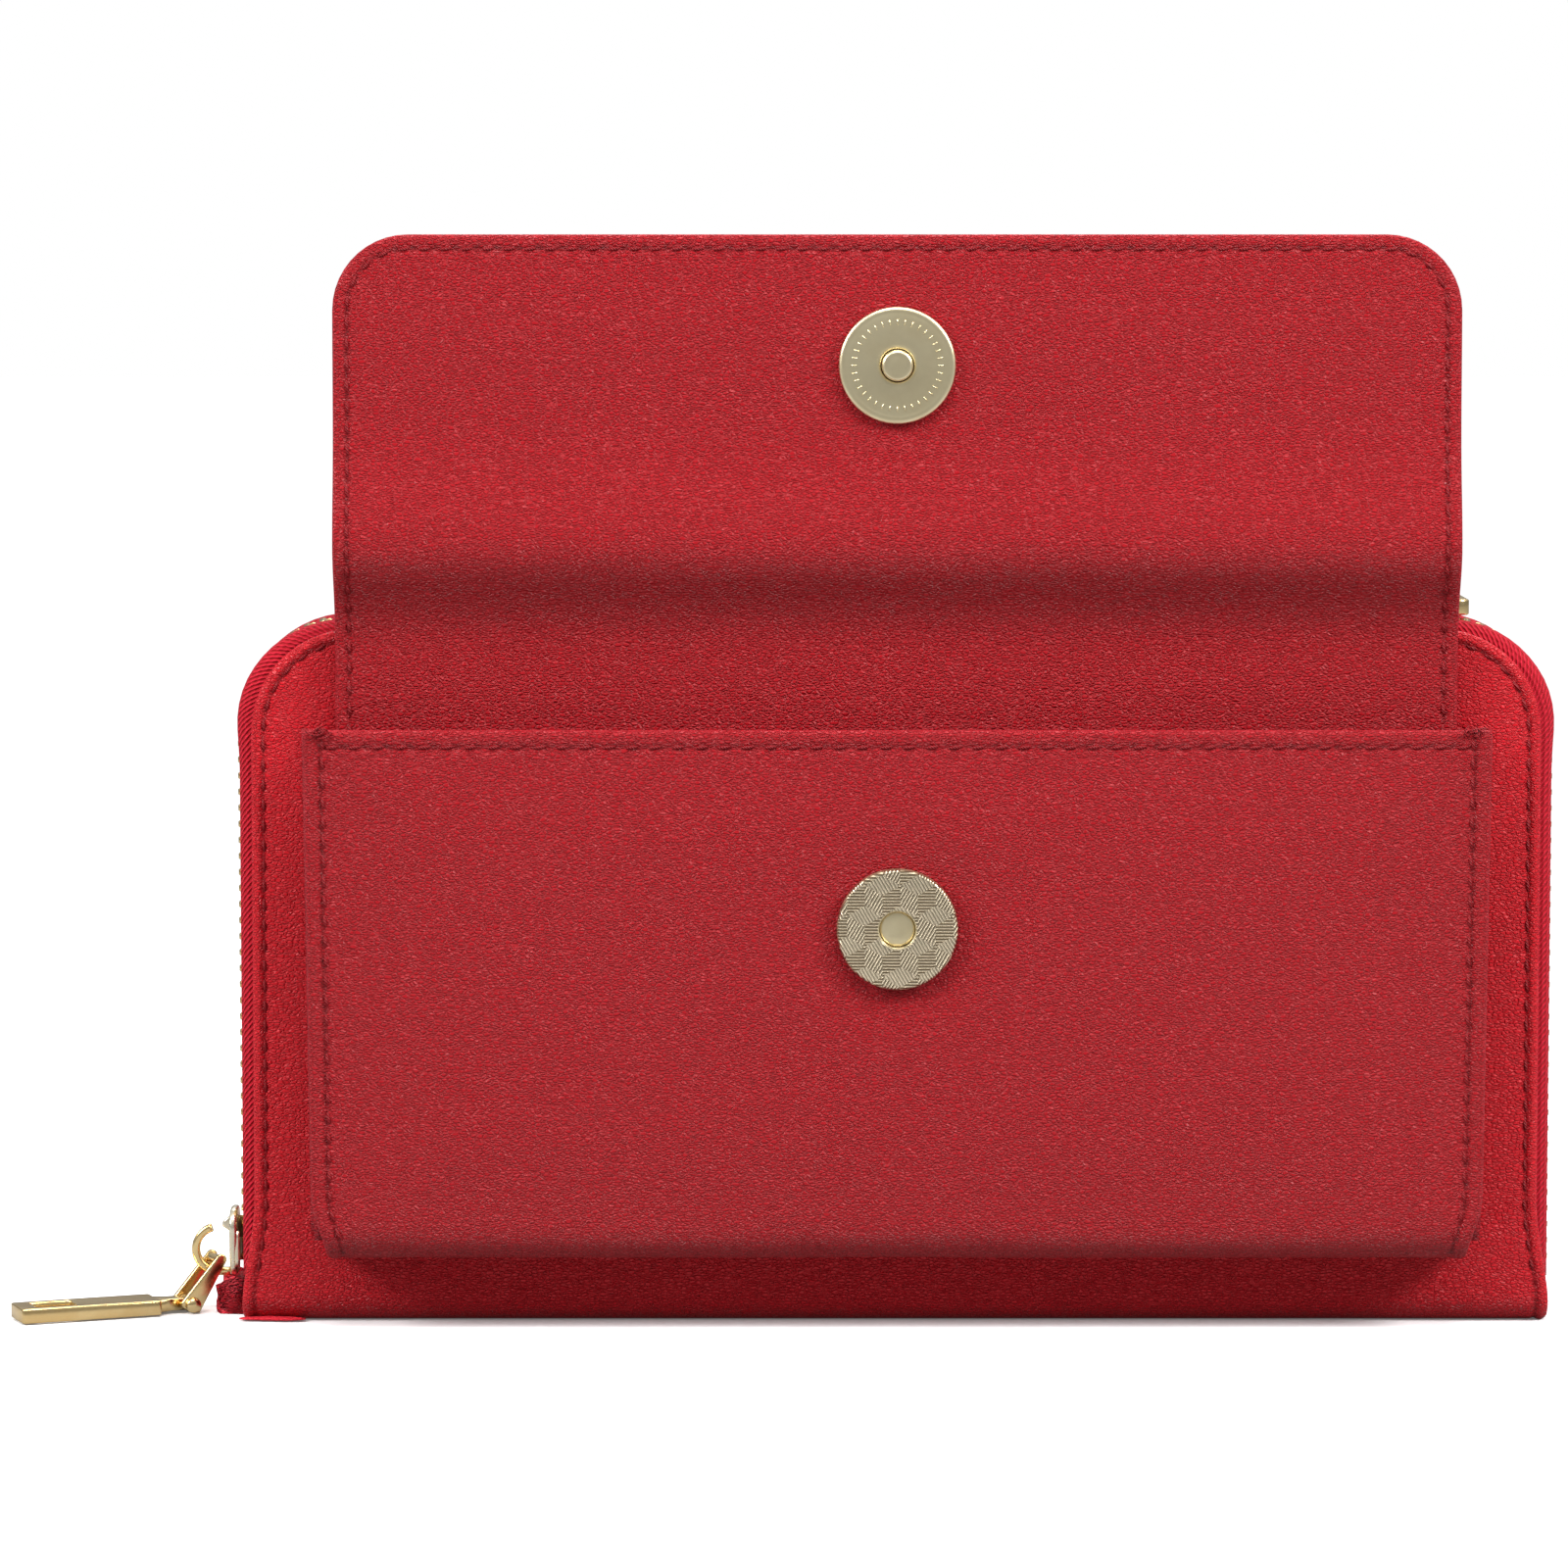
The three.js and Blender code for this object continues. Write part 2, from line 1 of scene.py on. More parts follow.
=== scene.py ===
"""A long zip-around wallet with a phone pocket and a magnetic flap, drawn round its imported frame.

Shapes are worked out in millimetres and go into the meshes in metres. Leather panels are a profile of
(inset from the edge, height over the middle of the leather) pairs carried along the panel's outline, and a
bend function then lays the flat plan in space.
"""
import bpy
import bmesh
import numpy as np
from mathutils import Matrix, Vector
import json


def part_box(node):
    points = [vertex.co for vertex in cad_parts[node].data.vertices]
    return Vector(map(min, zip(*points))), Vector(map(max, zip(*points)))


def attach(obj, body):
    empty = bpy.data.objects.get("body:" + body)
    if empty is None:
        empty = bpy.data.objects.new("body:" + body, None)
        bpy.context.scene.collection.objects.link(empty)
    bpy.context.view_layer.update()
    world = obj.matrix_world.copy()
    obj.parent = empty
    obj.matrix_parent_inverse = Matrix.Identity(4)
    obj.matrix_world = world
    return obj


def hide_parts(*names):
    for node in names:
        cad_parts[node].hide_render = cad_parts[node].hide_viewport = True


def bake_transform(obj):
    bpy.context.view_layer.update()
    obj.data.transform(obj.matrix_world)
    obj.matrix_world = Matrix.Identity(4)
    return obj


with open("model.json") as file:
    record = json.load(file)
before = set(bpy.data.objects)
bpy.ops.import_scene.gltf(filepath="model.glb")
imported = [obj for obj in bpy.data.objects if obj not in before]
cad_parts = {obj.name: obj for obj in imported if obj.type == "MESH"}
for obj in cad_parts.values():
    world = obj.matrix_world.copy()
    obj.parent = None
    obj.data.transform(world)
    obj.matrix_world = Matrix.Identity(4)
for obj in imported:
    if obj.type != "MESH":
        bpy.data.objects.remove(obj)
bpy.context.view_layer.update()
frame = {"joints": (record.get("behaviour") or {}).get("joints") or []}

MM = 0.001
PI = np.pi


def corners(node):
    """A node's lowest and highest corners at rest, in millimetres."""
    low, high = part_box(node)
    return np.array(low) / MM, np.array(high) / MM


# ---------------------------------------------------------------- sizes taken from the frame
COVER_LOW, COVER_HIGH = corners("front_cover")
TEETH_LOW, TEETH_HIGH = corners("back_zip_teeth")
FACE = -COVER_LOW[1]                                   # half the body's depth
COVER = {"half": COVER_HIGH[0], "top": COVER_HIGH[2], "radius": 16.0, "foot": COVER_LOW[2] + 2.5}
LEATHER = COVER_HIGH[1] - COVER_LOW[1]                 # thickness of the cover leather
ZIP = {"half": TEETH_HIGH[0], "top": TEETH_HIGH[2], "radius": 17.0}
ZIP_START = TEETH_LOW[2]
FLAP_FOOT = corners("flap_root")[0][2]
FLAP_HIGH = corners("flap_outer")[1]
FLAP_FACE = corners("flap_lining")[0][1]
POCKET_LOW, POCKET_HIGH = corners("pocket_front")
SOCKET_LOW, SOCKET_HIGH = corners("snap_socket_cap")
DISC_LOW, DISC_HIGH = corners("snap_disc")
SOCKET_Z = (SOCKET_LOW[2] + SOCKET_HIGH[2]) / 2
DISC_Z = (DISC_LOW[2] + DISC_HIGH[2]) / 2
HINGES = {j["name"]: np.array(j.get("pos_m", (0, 0, 0))) / MM for j in frame["joints"]}
AXES = {j["name"]: np.array(j["axis"], float) for j in frame["joints"]}

STITCH_PITCH = 3.1
TOOTH_PITCH = 2.5


# ---------------------------------------------------------------- mesh makers
def unit(rows):
    """Vectors brought to length one, each along the last axis."""
    return rows / (np.linalg.norm(rows, axis=-1, keepdims=True) + 1e-12)


def run_length(line):
    """How far each point of a line is from its start, along the line."""
    return np.concatenate([[0], np.cumsum(np.linalg.norm(np.diff(line, axis=0), axis=1))])


def make_mesh(name, points, faces, uv=None):
    """A mesh object from points in millimetres; each face is a row of point numbers; uv is per point."""
    mesh = bpy.data.meshes.new(name)
    mesh.from_pydata((np.asarray(points, float) * MM).tolist(), [], [list(map(int, f)) for f in faces])
    if uv is not None:
        layer = mesh.uv_layers.new(name="seam")
        index = np.empty(len(mesh.loops), np.int32)
        mesh.loops.foreach_get("vertex_index", index)
        layer.data.foreach_set("uv", np.asarray(uv, np.float32)[index].ravel())
    mesh.polygons.foreach_set("use_smooth", np.ones(len(mesh.polygons), bool))
    mesh.update()
    piece = bpy.data.objects.new(name, mesh)
    bpy.context.scene.collection.objects.link(piece)
    return piece


def grid_faces(rows, cols, wrap=False, first=0):
    """Quads between neighbouring rows of a grid of points; wrap joins the last column to the first."""
    span = cols if wrap else cols - 1
    r, c = np.meshgrid(np.arange(rows - 1), np.arange(span), indexing="ij")
    a = r * cols + c
    b = r * cols + (c + 1) % cols
    return (np.stack([a, b, b + cols, a + cols], -1).reshape(-1, 4) + first).tolist()


def tube_faces(rows, cols):
    """Quads round a tube of rows rings, each of cols points, and a cap on each end."""
    first, last = list(range(cols)), list(range((rows - 1) * cols, rows * cols))
    return grid_faces(rows, cols, wrap=True) + [first[::-1], last]


def repeated(faces, size, count):
    """The faces of one shape of size points, for count such shapes in a row."""
    return [[i + size * k for i in face] for k in range(count) for face in faces]


def weld(piece, distance=0.004):
    """Merges points closer than distance (millimetres) and turns every face outwards."""
    work = bmesh.new()
    work.from_mesh(piece.data)
    bmesh.ops.remove_doubles(work, verts=work.verts, dist=distance * MM)
    bmesh.ops.dissolve_degenerate(work, dist=distance * MM / 4, edges=work.edges)
    bmesh.ops.recalc_face_normals(work, faces=work.faces)
    work.to_mesh(piece.data)
    work.free()
    piece.data.update()
    return piece


def joined(name, parts):
    """One object from several (points, faces) pairs."""
    points, faces, first = [], [], 0
    for part_points, part_faces in parts:
        points.append(np.asarray(part_points, float).reshape(-1, 3))
        faces += [[i + first for i in face] for face in part_faces]
        first += len(points[-1])
    return make_mesh(name, np.concatenate(points), faces)


def turned(profile, centre, segments):
    """A round piece about a line along Y through centre (x, z): each (radius, y) point sweeps a circle."""
    profile = np.asarray(profile, float)
    angle = np.linspace(0, 2 * PI, segments, endpoint=False)
    radius, y = profile[:, 0][:, None], profile[:, 1][:, None]
    x = centre[0] + radius * np.cos(angle)
    z = centre[1] + radius * np.sin(angle)
    points = np.stack([x, np.broadcast_to(y, x.shape), z], -1)
    return points.reshape(-1, 3), grid_faces(len(profile), segments, wrap=True)


def swept(path, section, side, up, closed=False):
    """A section of (a, b) pairs carried along a path: point = path + a * side + b * up, with capped ends."""
    path, section = np.asarray(path, float), np.asarray(section, float)
    side = np.broadcast_to(np.asarray(side, float), path.shape)
    up = np.broadcast_to(np.asarray(up, float), path.shape)
    a, b = section[None, :, :1], section[None, :, 1:]
    points = path[:, None] + a * side[:, None] + b * up[:, None]
    rows, cols = points.shape[:2]
    if not closed:
        return points.reshape(-1, 3), tube_faces(rows, cols)
    last = (rows - 1) * cols
    joint = [[last + i, last + (i + 1) % cols, (i + 1) % cols, i] for i in range(cols)]
    return points.reshape(-1, 3), grid_faces(rows, cols, wrap=True) + joint


def rounded_section(width, height, radius, steps=3):
    """A rectangle width x height with round corners, as (a, b) pairs anticlockwise."""
    out = []
    for k, (sx, sy) in enumerate([(1, 1), (-1, 1), (-1, -1), (1, -1)]):
        angle = np.linspace(k * PI / 2, (k + 1) * PI / 2, steps + 1)
        out.append(np.stack([sx * (width / 2 - radius) + radius * np.cos(angle),
                             sy * (height / 2 - radius) + radius * np.sin(angle)], -1))
    return np.concatenate(out)


def round_section(radius, count):
    """A circle as count (a, b) pairs."""
    angle = np.linspace(0, 2 * PI, count, endpoint=False)
    return radius * np.column_stack([np.cos(angle), np.sin(angle)])


def arc_points(cx, cy, radius, start, end, count):
    """An arc round (cx, cy), from start to end in degrees."""
    angle = np.radians(np.linspace(start, end, count))
    return np.column_stack([cx + radius * np.cos(angle), cy + radius * np.sin(angle)])


def rounded_box_plan(x0, x1, half, radius, count=4):
    """A rectangle from x0 to x1 and half to each side, with round corners, anticlockwise."""
    return np.concatenate([
        arc_points(x0 + radius, -half + radius, radius, 180, 270, count),
        arc_points(x1 - radius, -half + radius, radius, 270, 360, count),
        arc_points(x1 - radius, half - radius, radius, 0, 90, count),
        arc_points(x0 + radius, half - radius, radius, 90, 180, count)])


def edge_normals(loop):
    """Outward unit normals of a closed anticlockwise outline, from the mean of its two neighbouring edges."""
    ahead = unit(np.roll(loop, -1, 0) - loop)
    mean = ahead + np.roll(ahead, 1, 0)
    normal = unit(np.stack([mean[:, 1], -mean[:, 0]], -1))
    miter = np.einsum("ij,ij->i", normal, np.stack([ahead[:, 1], -ahead[:, 0]], -1))
    return normal / np.clip(miter, 0.4, 1)[:, None]


def plate(outline, thick, edge, window=None):
    """A flat plate in (a, b) plan, as points (a, b, height): its rings step in by edge as they turn over.

    With a window the rings go up the outer side, over the top and down the window's side, and close below."""
    def side_rings(loop, sign):
        normal = edge_normals(loop) * sign
        rings = []
        for t in np.linspace(-PI / 2, PI / 2, 8):
            rise = thick / 2 - edge + edge * np.sin(abs(t))
            plan = loop - normal * (edge - edge * np.cos(t))
            rings.append(np.column_stack([plan, np.full(len(loop), np.sign(t) * rise)]))
        return rings

    rings = side_rings(outline, 1)
    if window is None:
        return np.concatenate(rings), tube_faces(len(rings), len(outline))
    rings += side_rings(window, -1)[::-1] + rings[:1]
    return np.concatenate(rings), grid_faces(len(rings), len(outline), wrap=True)


def smooth_step(t):
    """3t^2 - 2t^3, with t held between 0 and 1."""
    t = np.clip(t, 0, 1)
    return t * t * (3 - 2 * t)


def read_along(points, length, at):
    """The points of a line at the distances at, given each point's own distance."""
    return np.stack([np.interp(at, length, column) for column in points.T], -1)


def heading(points, length, at):
    """The unit directions of a line at the distances at."""
    return unit(read_along(points, length, at + 0.2) - read_along(points, length, at - 0.2))


def even_steps(points, pitch):
    """Points a pitch apart along an open line of points, with their unit directions."""
    length = run_length(points)
    count = max(2, int(round(length[-1] / pitch)))
    at = (np.arange(count) + 0.5) * length[-1] / count
    return read_along(points, length, at), heading(points, length, at)


def ribbon(centre, half):
    """The closed outline of a strip that reaches half to each side of a flat centre line."""
    way = unit(np.gradient(centre, axis=0))
    normal = np.column_stack([-way[:, 1], way[:, 0]]) * half
    return np.concatenate([centre + normal, (centre - normal)[::-1]])


def upright(section, z):
    """A closed (x, y) outline repeated at each height z, as rings of points."""
    return np.stack(np.broadcast_arrays(section[:, 0], section[:, 1], z[:, None]), -1)


def to_side(points, faces, x):
    """Turns a plate's (a, b, height) into (x + height, a, b): a plate that faces along X."""
    points = np.asarray(points)
    return np.column_stack([x + points[:, 2], points[:, 0], points[:, 1]]), faces


# ---------------------------------------------------------------- plans of leather panels
def open_run(inset, half, top, radius, foot, side=30, corner=12, across=36):
    """Up the left side, round both upper corners and down the right, stepped in by inset."""
    r = max(radius - inset, 0.02)
    edge, high = half - inset, top - inset
    rise = np.linspace(foot, high - r, side)[:-1]
    angle = np.linspace(PI, PI / 2, corner)
    left = np.column_stack([-edge + r + r * np.cos(angle), high - r + r * np.sin(angle)])
    middle = np.linspace(-edge + r, edge - r, across)[1:-1]
    right = left[::-1] * [-1, 1]
    return np.concatenate([
        np.column_stack([np.full(len(rise), -edge), rise]), left,
        np.column_stack([middle, np.full(len(middle), high)]), right,
        np.column_stack([np.full(len(rise), edge), rise[::-1]])])


def closed_run(inset, half, top, bottom, upper, lower):
    """A whole outline with round corners, stepped in by inset, anticlockwise from the lower left."""
    edge, high, low = half - inset, top - inset, bottom + inset
    out = []
    turns = ((1, -1, lower, -PI / 2), (1, 1, upper, 0), (-1, 1, upper, PI / 2), (-1, -1, lower, PI))
    for cx, cz, radius, start in turns:
        r = max(radius - inset, 0.004)
        angle = np.linspace(start, start + PI / 2, 6)
        z = high - r if cz > 0 else low + r
        out.append(np.column_stack([cx * (edge - r) + r * np.cos(angle), z + r * np.sin(angle)]))
    full = []
    for k in range(4):
        full.append(out[k])
        a, b = out[k][-1], out[(k + 1) % 4][0]
        count = 16 if k % 2 == 0 else 40
        full.append(a + (b - a) * np.linspace(0, 1, count + 1)[1:-1, None])
    return np.concatenate(full)


def edge_profile(thick, reach, step, groove=None, depth=0.22, swell=0.2):
    """(inset, height) pairs from the middle of the outer face, over a round edge, to the middle of the inner.

    Between the edge and the seam the leather swells, and at the seam it dips by depth."""
    r = thick / 2
    fine = [r + 0.12, r + 0.35, r + 0.7]
    if groove:
        fine += [groove + step_out for step_out in (-0.55, -0.28, 0, 0.28, 0.6, 1.2, 2.2)]
    else:
        fine += [r + 1.4, r + 2.4]
    fine = sorted(v for v in fine if v > r and v < reach)
    count = max(2, int((reach - fine[-1]) / step))
    insets = np.concatenate([fine, np.linspace(fine[-1], reach, count + 1)[1:]])
    height = np.full(len(insets), r)
    if groove:
        height = height + swell * np.exp(-((insets - groove * 0.5) / (groove * 0.36)) ** 2)
        height = height - depth * np.exp(-((insets - groove) / 0.3) ** 2)
    turn = np.linspace(PI / 2, -PI / 2, 9)
    rim = np.column_stack([r - r * np.cos(turn), r * np.sin(turn)])
    back = np.column_stack([insets, np.full(len(insets), -r)])
    return np.concatenate([np.column_stack([insets, height])[::-1], rim, back])


def lay_panel(profile, run, bend):
    """Carries the profile along the run and bends it: returns points (rings x run x 3) and their seam UVs."""
    plans = np.stack([run(d) for d, _ in profile])
    heights = np.broadcast_to(profile[:, 1][:, None], plans.shape[:2])
    uv = np.stack(np.broadcast_arrays(run_length(run(0.0))[None, :], profile[:, 0][:, None]), -1) * MM
    return bend(plans[..., 0], plans[..., 1], heights), uv.reshape(-1, 2)


def flat_panel(name, node, upper, lower, facing, step=12.0):
    """A closed panel that fills its CAD node's box; facing is -1 or 1 for its better side in Y."""
    low, high = corners(node)
    middle, half = (low[1] + high[1]) / 2, (high[0] - low[0]) / 2
    reach = min(half, (high[2] - low[2]) / 2) - 0.01
    profile = edge_profile(high[1] - low[1], reach, step=step)

    def bend(x, z, h):
        return np.stack([x, middle + facing * h, z], -1)

    points, uv = lay_panel(profile, lambda d: closed_run(d, half, high[2], low[2], upper, lower), bend)
    return weld(make_mesh(name, points.reshape(-1, 3), tube_faces(*points.shape[:2]), uv))


# ---------------------------------------------------------------- thread
def seam(name, line, normals, pitch, length=2.3, width=0.62):
    """Stitches along a line on a surface: short threads, thick in the middle, that dip at their ends.

    At t from -1 to 1 along it, its radius is width / 2 * sqrt(1 - t^2), and its dip grows as t^2."""
    spot, way = even_steps(np.concatenate([line, normals], 1), pitch)
    normal, spot, way = unit(spot[:, 3:]), spot[:, :3], unit(way[:, :3])
    across = np.cross(normal, way)
    t = np.array([-1, -0.72, -0.25, 0.25, 0.72, 1])
    radius = width / 2 * np.sqrt(np.clip(1.02 - t ** 2, 0.05, 1))
    angle = np.linspace(0, 2 * PI, 6, endpoint=False)
    along = spot[:, None] + way[:, None] * (t * length / 2)[None, :, None]
    along = along + across[:, None] * (t * 0.12)[None, :, None]
    along = along + normal[:, None] * (width * 0.16 - 0.34 * t ** 2)[None, :, None]
    ring = (across[:, None, None] * np.cos(angle)[None, None, :, None]
            + normal[:, None, None] * 0.8 * np.sin(angle)[None, None, :, None])
    points = along[:, :, None] + ring * radius[None, :, None, None]
    one = tube_faces(len(t), len(angle))
    return make_mesh(name, points.reshape(-1, 3), repeated(one, len(t) * len(angle), len(spot)))


def seam_on_panel(name, plan, bend, height, pitch=STITCH_PITCH):
    """Stitches along a plan line of a bent panel, standing on its face at the given height."""
    x, s = plan[:, 0], plan[:, 1]
    low = bend(x, s, np.full(len(x), height))
    high = bend(x, s, np.full(len(x), height + 1.0))
    return seam(name, low, high - low, pitch)


# ---------------------------------------------------------------- shader node groups
def feed(tree, socket, value):
    """Links a node's output to a socket, or sets the socket to a number or colour."""
    if isinstance(value, bpy.types.NodeSocket):
        tree.links.new(value, socket)
    elif value is not None:
        socket.default_value = value


def sum_node(tree, kind, a, b=None, c=None):
    """The number that one Math node gives."""
    node = tree.nodes.new("ShaderNodeMath")
    node.operation = kind
    for socket, value in zip(node.inputs, (a, b, c)):
        feed(tree, socket, value)
    return node.outputs[0]


def vector_node(tree, kind, a, b=None, c=None):
    """The vector that one Vector Math node gives, or its length."""
    node = tree.nodes.new("ShaderNodeVectorMath")
    node.operation = kind
    for socket, value in zip(node.inputs, (a, b, c)):
        feed(tree, socket, value)
    return node.outputs["Value" if kind == "LENGTH" else "Vector"]


def noise(tree, vector, scale, detail, rough=0.5):
    """A noise texture node."""
    node = tree.nodes.new("ShaderNodeTexNoise")
    feed(tree, node.inputs["Vector"], vector)
    feed(tree, node.inputs["Scale"], scale)
    feed(tree, node.inputs["Detail"], detail)
    feed(tree, node.inputs["Roughness"], rough)
    return node


def ramp(tree, value, low, high, out_low=0.0, out_high=1.0):
    """A smooth step of value between low and high."""
    node = tree.nodes.new("ShaderNodeMapRange")
    node.interpolation_type = "SMOOTHSTEP"
    for socket, number in zip(node.inputs, (value, low, high, out_low, out_high)):
        feed(tree, socket, number)
    return node.outputs[0]


def mix_colour(tree, factor, a, b):
    """Colour a, going to b as the factor goes from 0 to 1."""
    node = tree.nodes.new("ShaderNodeMix")
    node.data_type = "RGBA"
    feed(tree, node.inputs["Factor"], factor)
    feed(tree, node.inputs["A"], a)
    feed(tree, node.inputs["B"], b)
    return node.outputs["Result"]


def separate(tree, vector):
    """The three parts of a vector."""
    node = tree.nodes.new("ShaderNodeSeparateXYZ")
    tree.links.new(vector, node.inputs[0])
    return node.outputs


def new_group(name, inputs, outputs):
    """A shader node group: inputs maps names to numbers, or to None for a vector, and outputs are numbers."""
    tree = bpy.data.node_groups.new(name, "ShaderNodeTree")
    for label, value in inputs.items():
        kind = "NodeSocketVector" if value is None else "NodeSocketFloat"
        socket = tree.interface.new_socket(label, in_out="INPUT", socket_type=kind)
        if value is not None:
            socket.default_value = value
    for label in outputs:
        tree.interface.new_socket(label, in_out="OUTPUT", socket_type="NodeSocketFloat")
    return tree, tree.nodes.new("NodeGroupInput").outputs, tree.nodes.new("NodeGroupOutput").inputs


def leather_grain_group():
    """Pebbled grain: warped cells, twice as wide as high, with fine pores and slow dents.

    It gives a height, a slow tone and a mask of the creases between the cells."""
    tree, given, out = new_group("leather grain", {"Position": None},
                                 ["Height", "Tone", "Crease"])
    position = vector_node(tree, "MULTIPLY", given["Position"], (0.5, 1.0, 1.0))
    swirl = noise(tree, position, 1100.0, 2.0)
    warp = vector_node(tree, "MULTIPLY_ADD", swirl.outputs["Color"], (0.00035,) * 3, position)
    cells = tree.nodes.new("ShaderNodeTexVoronoi")
    cells.feature = "DISTANCE_TO_EDGE"
    feed(tree, cells.inputs["Vector"], warp)
    feed(tree, cells.inputs["Scale"], 2300.0)
    crease = ramp(tree, cells.outputs["Distance"], 0.0, 0.24)
    fine = noise(tree, warp, 4200.0, 3.0, 0.6).outputs["Fac"]
    wrinkle = noise(tree, position, 1500.0, 3.0, 0.6).outputs["Fac"]
    dents = noise(tree, position, 110.0, 2.0).outputs["Fac"]
    height = sum_node(tree, "MULTIPLY_ADD", fine, 0.06, crease)
    height = sum_node(tree, "MULTIPLY_ADD", wrinkle, 0.6, height)
    feed(tree, out["Height"], sum_node(tree, "MULTIPLY_ADD", dents, 0.5, height))
    slow = sum_node(tree, "MULTIPLY", wrinkle, 0.88)
    feed(tree, out["Tone"], sum_node(tree, "MULTIPLY_ADD", dents, 0.12, slow))
    feed(tree, out["Crease"], sum_node(tree, "SUBTRACT", 1.0, crease))
    return tree


def seam_shade_and_wear_group():
    """Masks from a panel's seam UV, which is metres along its edge and metres in from it.

    It gives the edge, for edge wear and a painted highlight; the seam's groove, for painted shade; and the
    gathers at the needle holes, a pitch apart, for painted shade and a dent."""
    tree, given, out = new_group("seam shade and edge wear", {"Along": 0.0, "Inset": 0.0, "Seam": 0.0019, "Pitch": 0.0031,
                                               "Position": None}, ["Edge", "Groove", "Gather"])
    patchy = noise(tree, given["Position"], 260.0, 3.0).outputs["Fac"]
    near = ramp(tree, given["Inset"], 0.0001, 0.0007, 1.0, 0.0)
    feed(tree, out["Edge"], sum_node(tree, "MULTIPLY", near, ramp(tree, patchy, 0.3, 0.65, 0.35, 1.0)))
    away = sum_node(tree, "ABSOLUTE", sum_node(tree, "SUBTRACT", given["Inset"], given["Seam"]))
    feed(tree, out["Groove"], ramp(tree, away, 0.0001, 0.00045, 1.0, 0.0))
    turns = sum_node(tree, "DIVIDE", 2 * PI, given["Pitch"])
    hole = ramp(tree, sum_node(tree, "COSINE", sum_node(tree, "MULTIPLY", given["Along"], turns)), 0.2, 1.0)
    feed(tree, out["Gather"], sum_node(tree, "MULTIPLY", hole, ramp(tree, away, 0.0002, 0.0009, 1.0, 0.0)))
    return tree


def rib_weave_group():
    """Two sets of threads that cross: u and v are in metres, Slant leans the ribs, Pitch is their spacing."""
    tree, given, out = new_group("rib weave", {"U": 0.0, "V": 0.0, "Pitch": 0.0008, "Slant": 1.0},
                                 ["Height", "Tone"])
    turns = sum_node(tree, "DIVIDE", 2 * PI, given["Pitch"])
    lean = sum_node(tree, "MULTIPLY_ADD", given["V"], given["Slant"], given["U"])
    rib = sum_node(tree, "SINE", sum_node(tree, "MULTIPLY", lean, turns))
    cross_turns = sum_node(tree, "MULTIPLY", turns, 1.3)
    cross = sum_node(tree, "SINE", sum_node(tree, "MULTIPLY", given["V"], cross_turns))
    height = sum_node(tree, "MULTIPLY_ADD", rib, 0.35, 0.5)
    height = sum_node(tree, "MULTIPLY_ADD", cross, 0.15, height)
    feed(tree, out["Height"], height)
    # painted shade: the tone is the height itself, darker in the hollows of the weave
    feed(tree, out["Tone"], ramp(tree, height, 0.1, 0.9))
    return tree


def metal_wear_group():
    """Fine scratches and soft smudges on plated metal, as a roughness change, a height and a tone."""
    tree, given, out = new_group("metal wear", {"Position": None}, ["Rough", "Height", "Tone"])
    smudge = noise(tree, given["Position"], 240.0, 3.0).outputs["Fac"]
    long_way = vector_node(tree, "MULTIPLY", given["Position"], (0.12, 1.0, 1.0))
    hair = noise(tree, long_way, 9000.0, 2.0).outputs["Fac"]
    soft = sum_node(tree, "MULTIPLY", smudge, 0.5)
    feed(tree, out["Rough"], sum_node(tree, "MULTIPLY_ADD", hair, 0.25, soft))
    feed(tree, out["Height"], hair)
    feed(tree, out["Tone"], smudge)
    return tree


